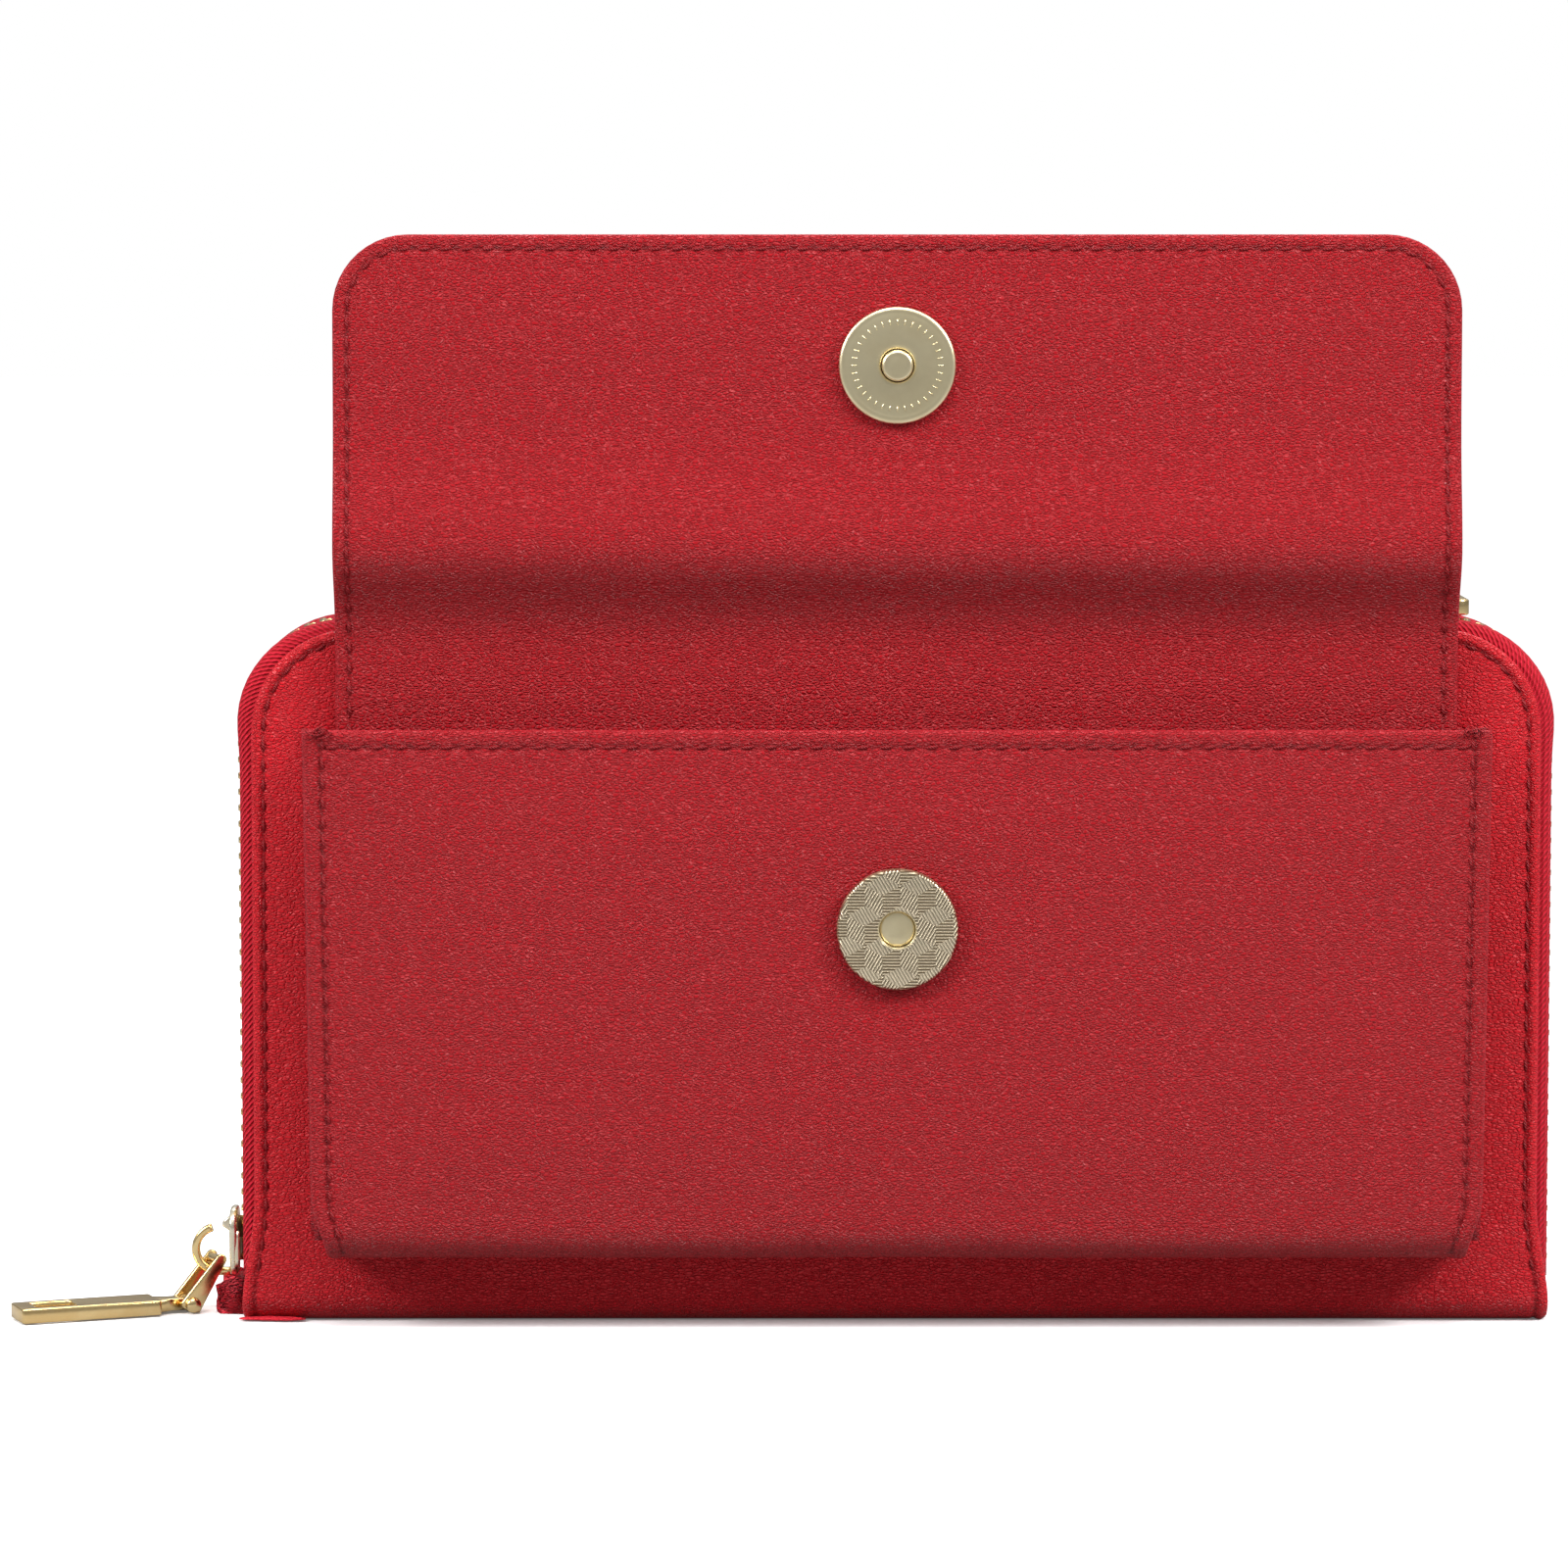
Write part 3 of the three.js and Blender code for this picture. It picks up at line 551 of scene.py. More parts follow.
def block_hatch_group():
    """Tumbling blocks: hexagons cut in three rhombs, each ruled with lines along one of its sides.

    The nearest hexagon centre is looked for in two rectangular lattices, and the rhomb is the third of a
    turn that the point lies in round it."""
    tree, given, out = new_group("block hatch", {"X": 0.0, "Z": 0.0, "Side": 0.0031, "Pitch": 0.00046},
                                 ["Height", "Tone"])
    wide = sum_node(tree, "MULTIPLY", given["Side"], 3 ** 0.5)
    tall = sum_node(tree, "MULTIPLY", given["Side"], 3.0)
    half_wide, half_tall = sum_node(tree, "MULTIPLY", wide, 0.5), sum_node(tree, "MULTIPLY", tall, 0.5)

    def lattice(shift):
        """The point's place round the nearest centre of one lattice, and its distance from it, squared."""
        x = sum_node(tree, "MULTIPLY_ADD", half_wide, shift, given["X"])
        z = sum_node(tree, "MULTIPLY_ADD", half_tall, shift, given["Z"])
        x = sum_node(tree, "WRAP", x, half_wide, sum_node(tree, "MULTIPLY", half_wide, -1.0))
        z = sum_node(tree, "WRAP", z, half_tall, sum_node(tree, "MULTIPLY", half_tall, -1.0))
        size = sum_node(tree, "ADD", sum_node(tree, "MULTIPLY", x, x), sum_node(tree, "MULTIPLY", z, z))
        return x, z, size

    (x0, z0, d0), (x1, z1, d1) = lattice(0.0), lattice(1.0)
    first = sum_node(tree, "LESS_THAN", d0, d1)
    second = sum_node(tree, "SUBTRACT", 1.0, first)
    x = sum_node(tree, "MULTIPLY_ADD", x0, first, sum_node(tree, "MULTIPLY", x1, second))
    z = sum_node(tree, "MULTIPLY_ADD", z0, first, sum_node(tree, "MULTIPLY", z1, second))
    turn = sum_node(tree, "DIVIDE", sum_node(tree, "ARCTAN2", z, x), 2 * PI / 3)
    third = sum_node(tree, "FLOOR", sum_node(tree, "ADD", turn, -0.25))
    lean = sum_node(tree, "MULTIPLY_ADD", third, 2 * PI / 3, PI / 2 + PI / 6)
    across = sum_node(tree, "MULTIPLY", x, sum_node(tree, "SINE", lean))
    across = sum_node(tree, "SUBTRACT", across, sum_node(tree, "MULTIPLY", z, sum_node(tree, "COSINE", lean)))
    turns = sum_node(tree, "DIVIDE", sum_node(tree, "MULTIPLY", across, 2 * PI), given["Pitch"])
    feed(tree, out["Height"], ramp(tree, sum_node(tree, "SINE", turns), -0.5, 0.5))
    # Tone is painted light: each rhomb a brightness from the lean of its lines, as engraved lines catch the
    # light
    lit = sum_node(tree, "COSINE", sum_node(tree, "ADD", lean, 0.5))
    feed(tree, out["Tone"], sum_node(tree, "MULTIPLY_ADD", lit, 0.5, 0.5))
    return tree


GRAIN, SEAM_SHADE_AND_WEAR = leather_grain_group(), seam_shade_and_wear_group()
WEAVE, METAL_WEAR, HATCH = rib_weave_group(), metal_wear_group(), block_hatch_group()


# ---------------------------------------------------------------- materials
def new_material(name, **settings):
    """A material with its Principled shader's constants set, and the Object coordinate to work from."""
    material = bpy.data.materials.new(name)
    material.use_nodes = True
    tree = material.node_tree
    shader = tree.nodes["Principled BSDF"]
    for label, value in settings.items():
        shader.inputs[label.replace("_", " ")].default_value = value
    place = tree.nodes.new("ShaderNodeTexCoord")
    return material, tree, shader, place


def placed(tree, group, **values):
    """Puts a node group in a material with its own values."""
    node = tree.nodes.new("ShaderNodeGroup")
    node.node_tree = group
    for label, value in values.items():
        feed(tree, node.inputs[label], value)
    return node.outputs


def bump(tree, shader, height, distance):
    """Bends the shader's normal by a height that is worth distance metres from 0 to 1."""
    node = tree.nodes.new("ShaderNodeBump")
    feed(tree, node.inputs["Height"], height)
    node.inputs["Distance"].default_value = distance
    node.inputs["Strength"].default_value = 1.0
    tree.links.new(node.outputs[0], shader.inputs["Normal"])


def leather(name, deep, light, seam_at=0.0019, pitch=STITCH_PITCH * MM):
    """Dyed pebbled leather, slowly mottled, with painted shade in the grain's creases, in the seam's groove
    and round the needle holes, and lighter in patches along the edge: edge wear and a painted highlight there.
    """
    material, tree, shader, place = new_material(name, Specular_IOR_Level=0.26)
    grain = placed(tree, GRAIN, Position=place.outputs["Object"])
    along, inset, _ = separate(tree, place.outputs["UV"])
    wear = placed(tree, SEAM_SHADE_AND_WEAR, Along=along, Inset=inset, Seam=seam_at, Pitch=pitch,
                  Position=place.outputs["Object"])
    colour = mix_colour(tree, ramp(tree, grain["Tone"], 0.2, 0.8), deep, light)
    # painted shade: the deep colour at 0.45, laid into the grain's creases, the seam's groove and the needle
    # holes
    painted_shade = tuple(v * 0.45 for v in deep[:3]) + (1,)
    colour = mix_colour(tree, sum_node(tree, "MULTIPLY", grain["Crease"], 0.25), colour, painted_shade)
    # painted shade along the seam's groove and round the needle holes
    groove = sum_node(tree, "MULTIPLY", wear["Groove"], 0.4)
    colour = mix_colour(tree, sum_node(tree, "MULTIPLY_ADD", wear["Gather"], 0.35, groove), colour, painted_shade)
    # lighter in patches along the edge: edge wear, and a painted highlight where the edge rolls over
    edge_wear_and_highlight = (min(light[0] * 1.3, 1), light[1] * 1.9 + 0.012, light[2] * 1.9 + 0.012, 1)
    colour = mix_colour(tree, sum_node(tree, "MULTIPLY", wear["Edge"], 0.4), colour, edge_wear_and_highlight)
    feed(tree, shader.inputs["Base Color"], colour)
    rough = sum_node(tree, "MULTIPLY_ADD", grain["Crease"], 0.2, 0.26)
    feed(tree, shader.inputs["Roughness"], sum_node(tree, "MULTIPLY_ADD", grain["Tone"], 0.16, rough))
    bump(tree, shader, sum_node(tree, "MULTIPLY_ADD", wear["Gather"], -0.7, grain["Height"]), 0.0002)
    return material


def plated(name, colour, shade, rough):
    """Plated metal: a slow change between two tones, with smudges and hair scratches in its roughness."""
    material, tree, shader, place = new_material(name, Metallic=1.0)
    wear = placed(tree, METAL_WEAR, Position=place.outputs["Object"])
    tone = ramp(tree, wear["Tone"], 0.3, 0.7)
    feed(tree, shader.inputs["Base Color"], mix_colour(tree, tone, colour, shade))
    feed(tree, shader.inputs["Roughness"], sum_node(tree, "MULTIPLY_ADD", wear["Rough"], 0.22, rough))
    bump(tree, shader, wear["Height"], 0.000004)
    return material


def engraved_gold(name, colour, shade, plain):
    """The pocket snap's face: pale gold ruled with tumbling blocks, but plain in its middle and on its rim.
    The ruled lines carry painted light and shade, each rhomb a painted brightness by the lean of its lines,
    and the plain gold is painted a mid tone, a painted shade that holds down its reflection.
    """
    material, tree, shader, place = new_material(name, Metallic=1.0)
    spot = vector_node(tree, "SUBTRACT", place.outputs["Object"], (0, 0, SOCKET_Z * MM))
    x, _, z = separate(tree, spot)
    hatch = placed(tree, HATCH, X=sum_node(tree, "SUBTRACT", x, 0.0004),
                   Z=sum_node(tree, "SUBTRACT", z, 0.0006))
    away = vector_node(tree, "LENGTH", vector_node(tree, "MULTIPLY", spot, (1, 0, 1)))
    outer = ramp(tree, away, 0.0089, 0.0092, 1.0, 0.0)
    field = sum_node(tree, "MULTIPLY", ramp(tree, away, 0.0029, 0.0031), outer)
    wear = placed(tree, METAL_WEAR, Position=place.outputs["Object"])
    # painted light and shade: across each ruled line, and a brightness for each rhomb by the lean of its lines
    line = sum_node(tree, "MULTIPLY", hatch["Height"], field)
    shaded = sum_node(tree, "MULTIPLY_ADD", hatch["Tone"], 0.45, sum_node(tree, "MULTIPLY", line, 0.65))
    ruled = mix_colour(tree, shaded, colour, shade)
    # the plain gold painted a mid tone: painted shade that holds down its reflection
    feed(tree, shader.inputs["Base Color"], mix_colour(tree, field, plain, ruled))
    rough = sum_node(tree, "MULTIPLY_ADD", hatch["Tone"], 0.18, 0.22)
    feed(tree, shader.inputs["Roughness"], sum_node(tree, "MULTIPLY_ADD", wear["Rough"], 0.2, rough))
    bump(tree, shader, line, 0.0003)
    return material


def cloth(name, deep, light, pitch, slant, own_uv, relief):
    """Woven cloth: threads from the rib weave, on the piece's own UV or on its Object coordinates. Its colour
    has painted shade in the weave's hollows and is mottled by fuzz.
    """
    material, tree, shader, place = new_material(
        name, Roughness=0.8, Specular_IOR_Level=0.2, Sheen_Weight=0.12, Sheen_Roughness=0.4,
        Sheen_Tint=(0.9, 0.2, 0.25, 1))
    u, v, w = separate(tree, place.outputs["UV" if own_uv else "Object"])
    if not own_uv:
        v = sum_node(tree, "ADD", w, v)
    weave = placed(tree, WEAVE, U=u, V=v, Pitch=pitch, Slant=slant)
    fuzz = noise(tree, place.outputs["Object"], 1500.0, 3.0).outputs["Fac"]
    tone = sum_node(tree, "MULTIPLY_ADD", fuzz, 0.5, sum_node(tree, "MULTIPLY", weave["Tone"], 0.6))
    feed(tree, shader.inputs["Base Color"], mix_colour(tree, ramp(tree, tone, 0.2, 0.9), deep, light))
    bump(tree, shader, sum_node(tree, "MULTIPLY_ADD", fuzz, 0.4, weave["Height"]), relief)
    return material


def thread_material(name, deep, light):
    """Waxed sewing thread, painted darker than the leather's red for the shade it lies in, with a fine twist
    across it painted darker between the strands, and a slight sheen.
    """
    material, tree, shader, place = new_material(name, Roughness=0.5, Specular_IOR_Level=0.25)
    x, _, z = separate(tree, place.outputs["Object"])
    lean = sum_node(tree, "ADD", x, z)
    twist = sum_node(tree, "SINE", sum_node(tree, "MULTIPLY", lean, 2 * PI / 0.00045))
    # painted shade between the strands: the colour follows the twist's bump
    feed(tree, shader.inputs["Base Color"], mix_colour(tree, ramp(tree, twist, -1.0, 1.0), deep, light))
    bump(tree, shader, twist, 0.00004)
    return material


# The pocket's and the flap's leather, painted lighter to make up for the less light that falls on the covers;
# the card slots, the coin pocket and the strap tab use it too.
LEATHER_RED_PAINTED_LIGHTER = leather("red leather", (0.46, 0.004, 0.010, 1), (0.56, 0.007, 0.016, 1))
POCKET_RED = leather("red leather of the pocket", (0.30, 0.003, 0.007, 1), (0.35, 0.005, 0.011, 1),
                     seam_at=0.0027, pitch=0.0035)
FLAP_RED = leather("red leather of the flap", (0.31, 0.003, 0.007, 1), (0.36, 0.005, 0.011, 1),
                   seam_at=0.0022, pitch=0.0032)
# The same leather again, painted lighter still for the shadow of the slider and the wallet on the end tabs;
# the tape's cut tail uses it too.
END_RED_PAINTED_LIGHTER = leather("red leather of the end tabs, painted lighter", (0.62, 0.006, 0.014, 1), (0.9, 0.02, 0.04, 1))
TAPE_RED = cloth("red zip tape", (0.30, 0.002, 0.006, 1), (0.55, 0.010, 0.029, 1),
                 pitch=0.00095, slant=1.3, own_uv=True, relief=0.00035)
CLOTH_RED = cloth("red lining cloth", (0.16, 0.006, 0.01, 1), (0.34, 0.02, 0.03, 1),
                  pitch=0.0006, slant=0.0, own_uv=False, relief=0.00012)
# The leather's red, painted darker for the shade the stitches lie in down in the seams.
THREAD_RED_PAINTED_DARKER = thread_material("red thread, painted darker", (0.13, 0.0015, 0.003, 1), (0.27, 0.004, 0.009, 1))
GOLD = plated("polished gold", (0.86, 0.66, 0.33, 1), (0.78, 0.56, 0.25, 1), 0.13)
SLIDER_GOLD = plated("silver gold", (0.82, 0.76, 0.60, 1), (0.70, 0.62, 0.46, 1), 0.2)
PALE_GOLD = plated("pale gold", (0.82, 0.72, 0.47, 1), (0.72, 0.62, 0.39, 1), 0.26)
ENGRAVED = engraved_gold("engraved pale gold", (0.86, 0.74, 0.54, 1), (0.16, 0.12, 0.07, 1),
                         plain=(0.56, 0.47, 0.29, 1))
STEEL = plated("bright steel", (0.62, 0.62, 0.61, 1), (0.5, 0.5, 0.49, 1), 0.3)


def fit(piece, material, nodes=(), body=None):
    """Gives a piece its material and slot, the CAD nodes it stands for and the body it rides on."""
    piece.data.materials.append(material)
    if nodes:
        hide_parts(*nodes)
    if body:
        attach(piece, body)
    return piece


def sewn(piece, body=None):
    """Stitches and loose threads: no CAD node stands for them."""
    return fit(piece, THREAD_RED_PAINTED_DARKER, body=body)


# ---------------------------------------------------------------- covers
FRONT_CROWN, BACK_CROWN = 0.25, 0.2
COVER_SEAM = 1.9                                       # how far in from the edge the seam runs


def puff(x, s, half, top, amount):
    """A soft crown: nothing at the edges and amount over the field, rising within 14 mm of an edge."""
    edge = np.minimum(half - np.abs(x), top - s)
    return amount * smooth_step(edge / 14)


def flare(x, z):
    """Near its foot the cover spreads sideways over the ends of the zip."""
    return x + np.sign(x) * 2.0 * smooth_step((np.abs(x) - 84) / 15) * smooth_step((19 - z) / 17)


def front_bend(x, s, h):
    """The front cover stands upright and faces -Y, with a soft crown."""
    crown = puff(x, s, COVER["half"], COVER["top"], FRONT_CROWN)
    return np.stack([flare(x, s), -(FACE - LEATHER / 2) - h - crown, s], -1)


def back_bend(x, s, h):
    """The back cover stands upright and faces +Y, with a soft crown."""
    crown = puff(x, s, COVER["half"], COVER["top"], BACK_CROWN)
    return np.stack([flare(x, s), (FACE - LEATHER / 2) + h + crown, s], -1)


def spine_path():
    """From the front panel's foot, round the lower corners to the back panel's foot, with outward normals."""
    reach, corner = FACE - LEATHER / 2, 3.4
    mid = LEATHER / 2
    front = np.column_stack([np.full(5, -reach), np.linspace(COVER["foot"], corner + mid, 5)])
    turn = np.linspace(PI, 1.5 * PI, 12)
    arc = np.column_stack([-reach + corner + corner * np.cos(turn), corner + mid + corner * np.sin(turn)])
    flat = np.column_stack([np.linspace(-reach + corner, reach - corner, 9)[1:-1], np.full(7, mid)])
    line = np.concatenate([front[:-1], arc, flat, (arc * [-1, 1])[::-1], (front * [-1, 1])[::-1][1:]])
    way = unit(np.gradient(line, axis=0))
    normal = np.column_stack([way[:, 1], -way[:, 0]])
    normal[0], normal[-1] = (-1, 0), (1, 0)
    return line, normal


def cover_leather():
    """The one leather that is the front panel, the spine and the back panel."""
    profile = edge_profile(LEATHER, COVER["half"], groove=COVER_SEAM, step=4.0)
    run = lambda d: open_run(d, COVER["half"], COVER["top"], COVER["radius"], COVER["foot"])
    front, uv_front = lay_panel(profile, run, front_bend)
    back, uv_back = lay_panel(profile, run, back_bend)
    rings, count = front.shape[:2]
    faces = grid_faces(rings, count) + grid_faces(rings, count, first=rings * count)

    line, normal = spine_path()
    inset, height = profile[:, 0], profile[:, 1]
    reach = np.concatenate([-(COVER["half"] - inset), (COVER["half"] - inset)[::-1]])
    rise = np.concatenate([height, height[::-1]])
    crown = puff(np.abs(reach), COVER["foot"], COVER["half"], COVER["top"], 1.0)
    step = np.arange(len(line))
    fade = FRONT_CROWN * smooth_step(1 - step / 10) + BACK_CROWN * smooth_step(1 - step[::-1] / 10)
    lift = rise[None, :] + crown[None, :] * fade[:, None]
    spread = flare(np.broadcast_to(reach, lift.shape), np.minimum(line[:, 1], COVER["foot"])[:, None])
    strip = np.stack([spread,
                      line[:, 0, None] + lift * normal[:, 0, None],
                      np.maximum(line[:, 1, None] + lift * normal[:, 1, None], 0.03)], -1)
    faces += grid_faces(*strip.shape[:2], wrap=True, first=2 * rings * count)
    spine_v = np.concatenate([inset, inset[::-1]])
    spine_u = -np.arange(len(line)) * 1.2
    uv_strip = np.stack(np.broadcast_arrays(spine_u[:, None], spine_v[None, :]), -1).reshape(-1, 2) * MM
    points = np.concatenate([front.reshape(-1, 3), back.reshape(-1, 3), strip.reshape(-1, 3)])
    piece = make_mesh("cover_leather", points, faces, np.concatenate([uv_front, uv_back, uv_strip]))
    return weld(piece)


def cover_seam(name, bend):
    """The seam that runs round a cover's three free sides, from just above the spine."""
    plan = open_run(COVER_SEAM, COVER["half"], COVER["top"], COVER["radius"], 7.5, 40, 14, 40)
    return seam_on_panel(name, plan, bend, LEATHER / 2 - 0.1)


cover = cover_leather()
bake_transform(cover)
fit(cover, LEATHER_RED_PAINTED_LIGHTER, ["front_cover", "spine_cover", "back_cover"])
sewn(cover_seam("front_cover_stitches", front_bend), "front_half")
sewn(cover_seam("back_cover_stitches", back_bend), "back_half")


# ---------------------------------------------------------------- zip
def zip_line(inset, foot=ZIP_START, side=46, corner=14, across=60):
    """Points of the zip's run, inset from its outermost line, in X and Z."""
    return open_run(inset, ZIP["half"], ZIP["top"], ZIP["radius"], foot, side, corner, across)


def zip_tape(name, side):
    """Woven tape: a flat strip that comes from under the cover's edge and turns over to the teeth.

    The section's centre line is (outward, y), and a bead of cord thickens it beside the teeth. Over the
    wallet's top the tape's fold stands prouder, as it does where a zip turns a corner."""
    centre = np.array([[-6.4, 10.15], [-4.0, 10.15], [-2.3, 10.15], [-1.35, 9.95], [-0.85, 9.2], [-0.72, 8.0],
                       [-0.7, 6.6], [-0.7, 5.0], [-0.7, 3.9], [-0.7, 3.4], [-0.7, 2.9], [-0.7, 2.5]])
    half = np.array([0.26] * 8 + [0.28, 0.5, 0.55, 0.3])
    out, y = ribbon(centre, half[:, None]).T
    plans = np.stack([zip_line(-v) for v in out], 1)
    proud = np.stack([zip_line(-v - 0.7) for v in out], 1)
    rise = smooth_step((plans[..., 1] - 84) / 16) * np.exp(-((y - 8.2) / 2.0) ** 2)
    plans = plans + (proud - plans) * rise[..., None]
    points = np.stack([plans[..., 0], np.broadcast_to(side * y, rise.shape), plans[..., 1]], -1)
    across = run_length(centre)
    across = np.concatenate([across, across[::-1]])
    uv = np.stack(np.broadcast_arrays(run_length(zip_line(0))[:, None], across), -1) * MM
    return weld(make_mesh(name, points.reshape(-1, 3), tube_faces(*rise.shape), uv.reshape(-1, 2)))


def tooth_points(spot, way, out, side, size):
    """One zip tooth per spot: six rings of eight points, from the clamp on the tape to a narrow round head.

    Ring k has half-width a_k along the zip and half-height b_k outwards, at y_k from the middle plane. Its
    corners are round: both cosine and sine are raised to the power 0.55."""
    y = np.array([3.7, 3.3, 2.2, 0.9, -0.55, -0.85]) * size
    a = np.array([0.3, 0.62, 0.6, 0.46, 0.56, 0.3]) * size
    b = np.array([0.5, 0.92, 0.9, 0.62, 0.66, 0.4]) * size
    angle = np.linspace(0, 2 * PI, 8, endpoint=False) + PI / 8
    along, rise = (1.05 * reach[:, None] * np.sign(wave) * np.abs(wave) ** 0.55
                   for reach, wave in ((a, np.cos(angle)), (b, np.sin(angle))))
    points = (spot[:, None, None] + way[:, None, None] * along[None, :, :, None]
              + out[:, None, None] * rise[None, :, :, None])
    return points + np.array([0, side, 0]) * y[None, :, None, None]


def teeth(name, line, out, side, phase, pitch=TOOTH_PITCH, size=1.0):
    """A row of teeth a pitch apart along a line; phase shifts this half's teeth between the other half's."""
    length = run_length(line)
    at = np.arange((0.3 + phase) * pitch, length[-1] - 0.2 * pitch, pitch)
    spot, outward = read_along(line, length, at), unit(read_along(out, length, at))
    points = tooth_points(spot, heading(line, length, at), outward, side, size)
    count, rings, around = points.shape[:3]
    faces = repeated(tube_faces(rings, around), rings * around, count)
    return weld(make_mesh(name, points.reshape(-1, 3), faces), 0.001)


def zip_teeth(name, side, phase):
    """One half's row, on a line that lies 0.72 mm in from the zip's outermost line."""
    plan, outer = (zip_line(inset, ZIP_START + 0.2, 60, 24, 80) for inset in (0.72, -2.0))
    line, out = (np.insert(flat, 1, 0, axis=1) for flat in (plan, outer - plan))
    return teeth(name, line, out, side, phase)


for half, side, phase in (("back", 1, 0.0), ("front", -1, 0.5)):
    body = f"{half}_half"
    fit(zip_tape(f"{half}_zip_tape_woven", side), TAPE_RED, [f"{half}_zip_tape"], body)
    fit(zip_teeth(f"{half}_zip_teeth_row", side, phase), GOLD, [f"{half}_zip_teeth"], body)


# ---------------------------------------------------------------- phone pocket
POCKET = {"half": POCKET_HIGH[0], "top": POCKET_HIGH[2], "bottom": POCKET_LOW[2], "turn": 4.0}
POCKET_LEATHER = POCKET_HIGH[1] - POCKET_LOW[1]
POCKET_MID = POCKET_LOW[1] + POCKET_LEATHER / 2
POCKET_BACK = -FACE - 0.35
POCKET_FOOT = POCKET["bottom"] - PI / 2 * POCKET["turn"] + 2 * POCKET["turn"] + POCKET_MID - POCKET_BACK
POCKET_TAPER = 0.011 / 80                              # how much its width narrows for each millimetre down


def pocket_swell(x, s):
    """How far the pocket's face stands forward: a slow crown, pulled in to nothing round the snap."""
    edge = np.minimum(POCKET["half"] - np.abs(x), np.minimum(POCKET["top"] - s, s - POCKET["bottom"]) * 1.3)
    crown = 0.9 * smooth_step(edge / 26)
    away = np.hypot(x, s - SOCKET_Z)
    dimple = np.exp(-(away / 13.0) ** 4)
    angle = np.arctan2(s - SOCKET_Z, x)
    pull = 0.1 * np.exp(-((away - 17) / 7) ** 2) * np.cos(5 * angle + 0.6)
    return crown * (1 - dimple) + pull


def pocket_bend(x, s, h):
    """Front face, then a quarter turn at the bottom, then back to the cover; its sides narrow downwards."""
    turn, low = POCKET["turn"], POCKET["bottom"] + POCKET["turn"]
    down = np.clip(low - s, 0, None)
    angle = np.clip(down / turn, 0, PI / 2)
    beyond = np.clip(down - PI / 2 * turn, 0, None)
    swell = pocket_swell(x, s) * (s > low - 1)
    r = turn + h
    y = np.where(s > low, POCKET_MID - h - swell, POCKET_MID + turn - r * np.cos(angle) + beyond)
    z = np.where(s > low, s, low - r * np.sin(angle))
    narrow = POCKET_TAPER * (POCKET["top"] - s) + 0.022 * smooth_step((low + 5 - s) / 9)
    return np.stack([x * (1 - narrow), y, z], -1)


def pocket_front():
    """The pocket's face and its bottom are one leather, sewn down each side and under the mouth."""
    profile = edge_profile(POCKET_LEATHER, POCKET["half"], groove=2.6, depth=0.2, swell=0.12, step=2.2)

    def run(inset):
        plan = open_run(inset, POCKET["half"], POCKET["top"], 0.8, POCKET_FOOT, 44, 6, 60)
        plan[:, 1] = np.maximum(plan[:, 1], POCKET_FOOT)
        return plan

    points, uv = lay_panel(profile, run, pocket_bend)
    return weld(make_mesh("pocket_front_leather", points.reshape(-1, 3), grid_faces(*points.shape[:2]), uv))


def pocket_seams():
    """One seam under the mouth and one down each side."""
    half, top = POCKET["half"] - 3.2, POCKET["top"] - 2.6
    x = np.linspace(-half - 0.5, half + 0.5, 60)
    mouth = np.column_stack([x, np.full(60, top)])
    z = np.linspace(POCKET["bottom"] + 2.4, POCKET["top"] - 0.6, 40)
    height = POCKET_LEATHER / 2 - 0.06
    made = [seam_on_panel("pocket_mouth_stitches", mouth, pocket_bend, height, 3.5)]
    for side, name in ((-1, "left"), (1, "right")):
        line = np.column_stack([np.full(40, side * (half + 0.25)), z])
        made.append(seam_on_panel(f"pocket_{name}_stitches", line, pocket_bend, height, 3.0))
    return made


def pocket_gusset(name, side):
    """A strip folded inwards between the cover and the pocket's face, with a lip behind the face."""
    t = np.linspace(0, 1, 15)
    lip = POCKET_MID + POCKET_LEATHER / 2 + 0.75
    x = np.concatenate([[91.2], 88.7 - 3.6 * np.sin(PI * t) ** 1.3, [89.9]])
    y = np.concatenate([[POCKET_BACK], POCKET_BACK + (lip - POCKET_BACK) * t, [lip - 0.05]])
    z = np.linspace(POCKET["bottom"] + 2.5, POCKET["top"] - 0.7, 24)
    points = upright(ribbon(np.column_stack([x, y]), 0.36) * [side, 1], z)
    points[..., 0] *= 1 - POCKET_TAPER * (POCKET["top"] - z[:, None])
    return weld(make_mesh(name, points.reshape(-1, 3), tube_faces(*points.shape[:2])))


def mouth_knots():
    """Thread ends at the mouth's corners: a few short curled threads, each a thin tube along a curl."""
    parts = []
    t = np.linspace(0, 1, 8)
    for side, k in [(side, k) for side in (-1, 1) for k in range(5)]:
        turn, size = 2.2 * t + 1.3 * k + side, 0.9 + 0.25 * (k % 3)
        curl = np.column_stack([side * (POCKET["half"] - 3.0 + 1.6 * t * (k % 2)) + size * np.sin(turn),
                                POCKET_MID - 0.7 - 0.5 * np.sin(PI * t),
                                POCKET["top"] - 0.3 + 0.8 * size * np.cos(turn) * (0.5 + 0.5 * t)])
        way = unit(np.gradient(curl, axis=0))
        across = unit(np.cross(way, (0, 1, 0.2)))
        parts.append(swept(curl, round_section(0.16, 6), across, np.cross(way, across)))
    return joined("pocket_mouth_knots_thread", parts)


fit(pocket_front(), POCKET_RED, ["pocket_front", "pocket_gusset_bottom"], "front_half")
for piece in pocket_seams() + [mouth_knots()]:
    sewn(piece, "front_half")
for name, side in (("left", -1), ("right", 1)):
    piece = pocket_gusset(f"pocket_gusset_{name}_leather", side)
    fit(piece, POCKET_RED, [f"pocket_gusset_{name}"], "front_half")


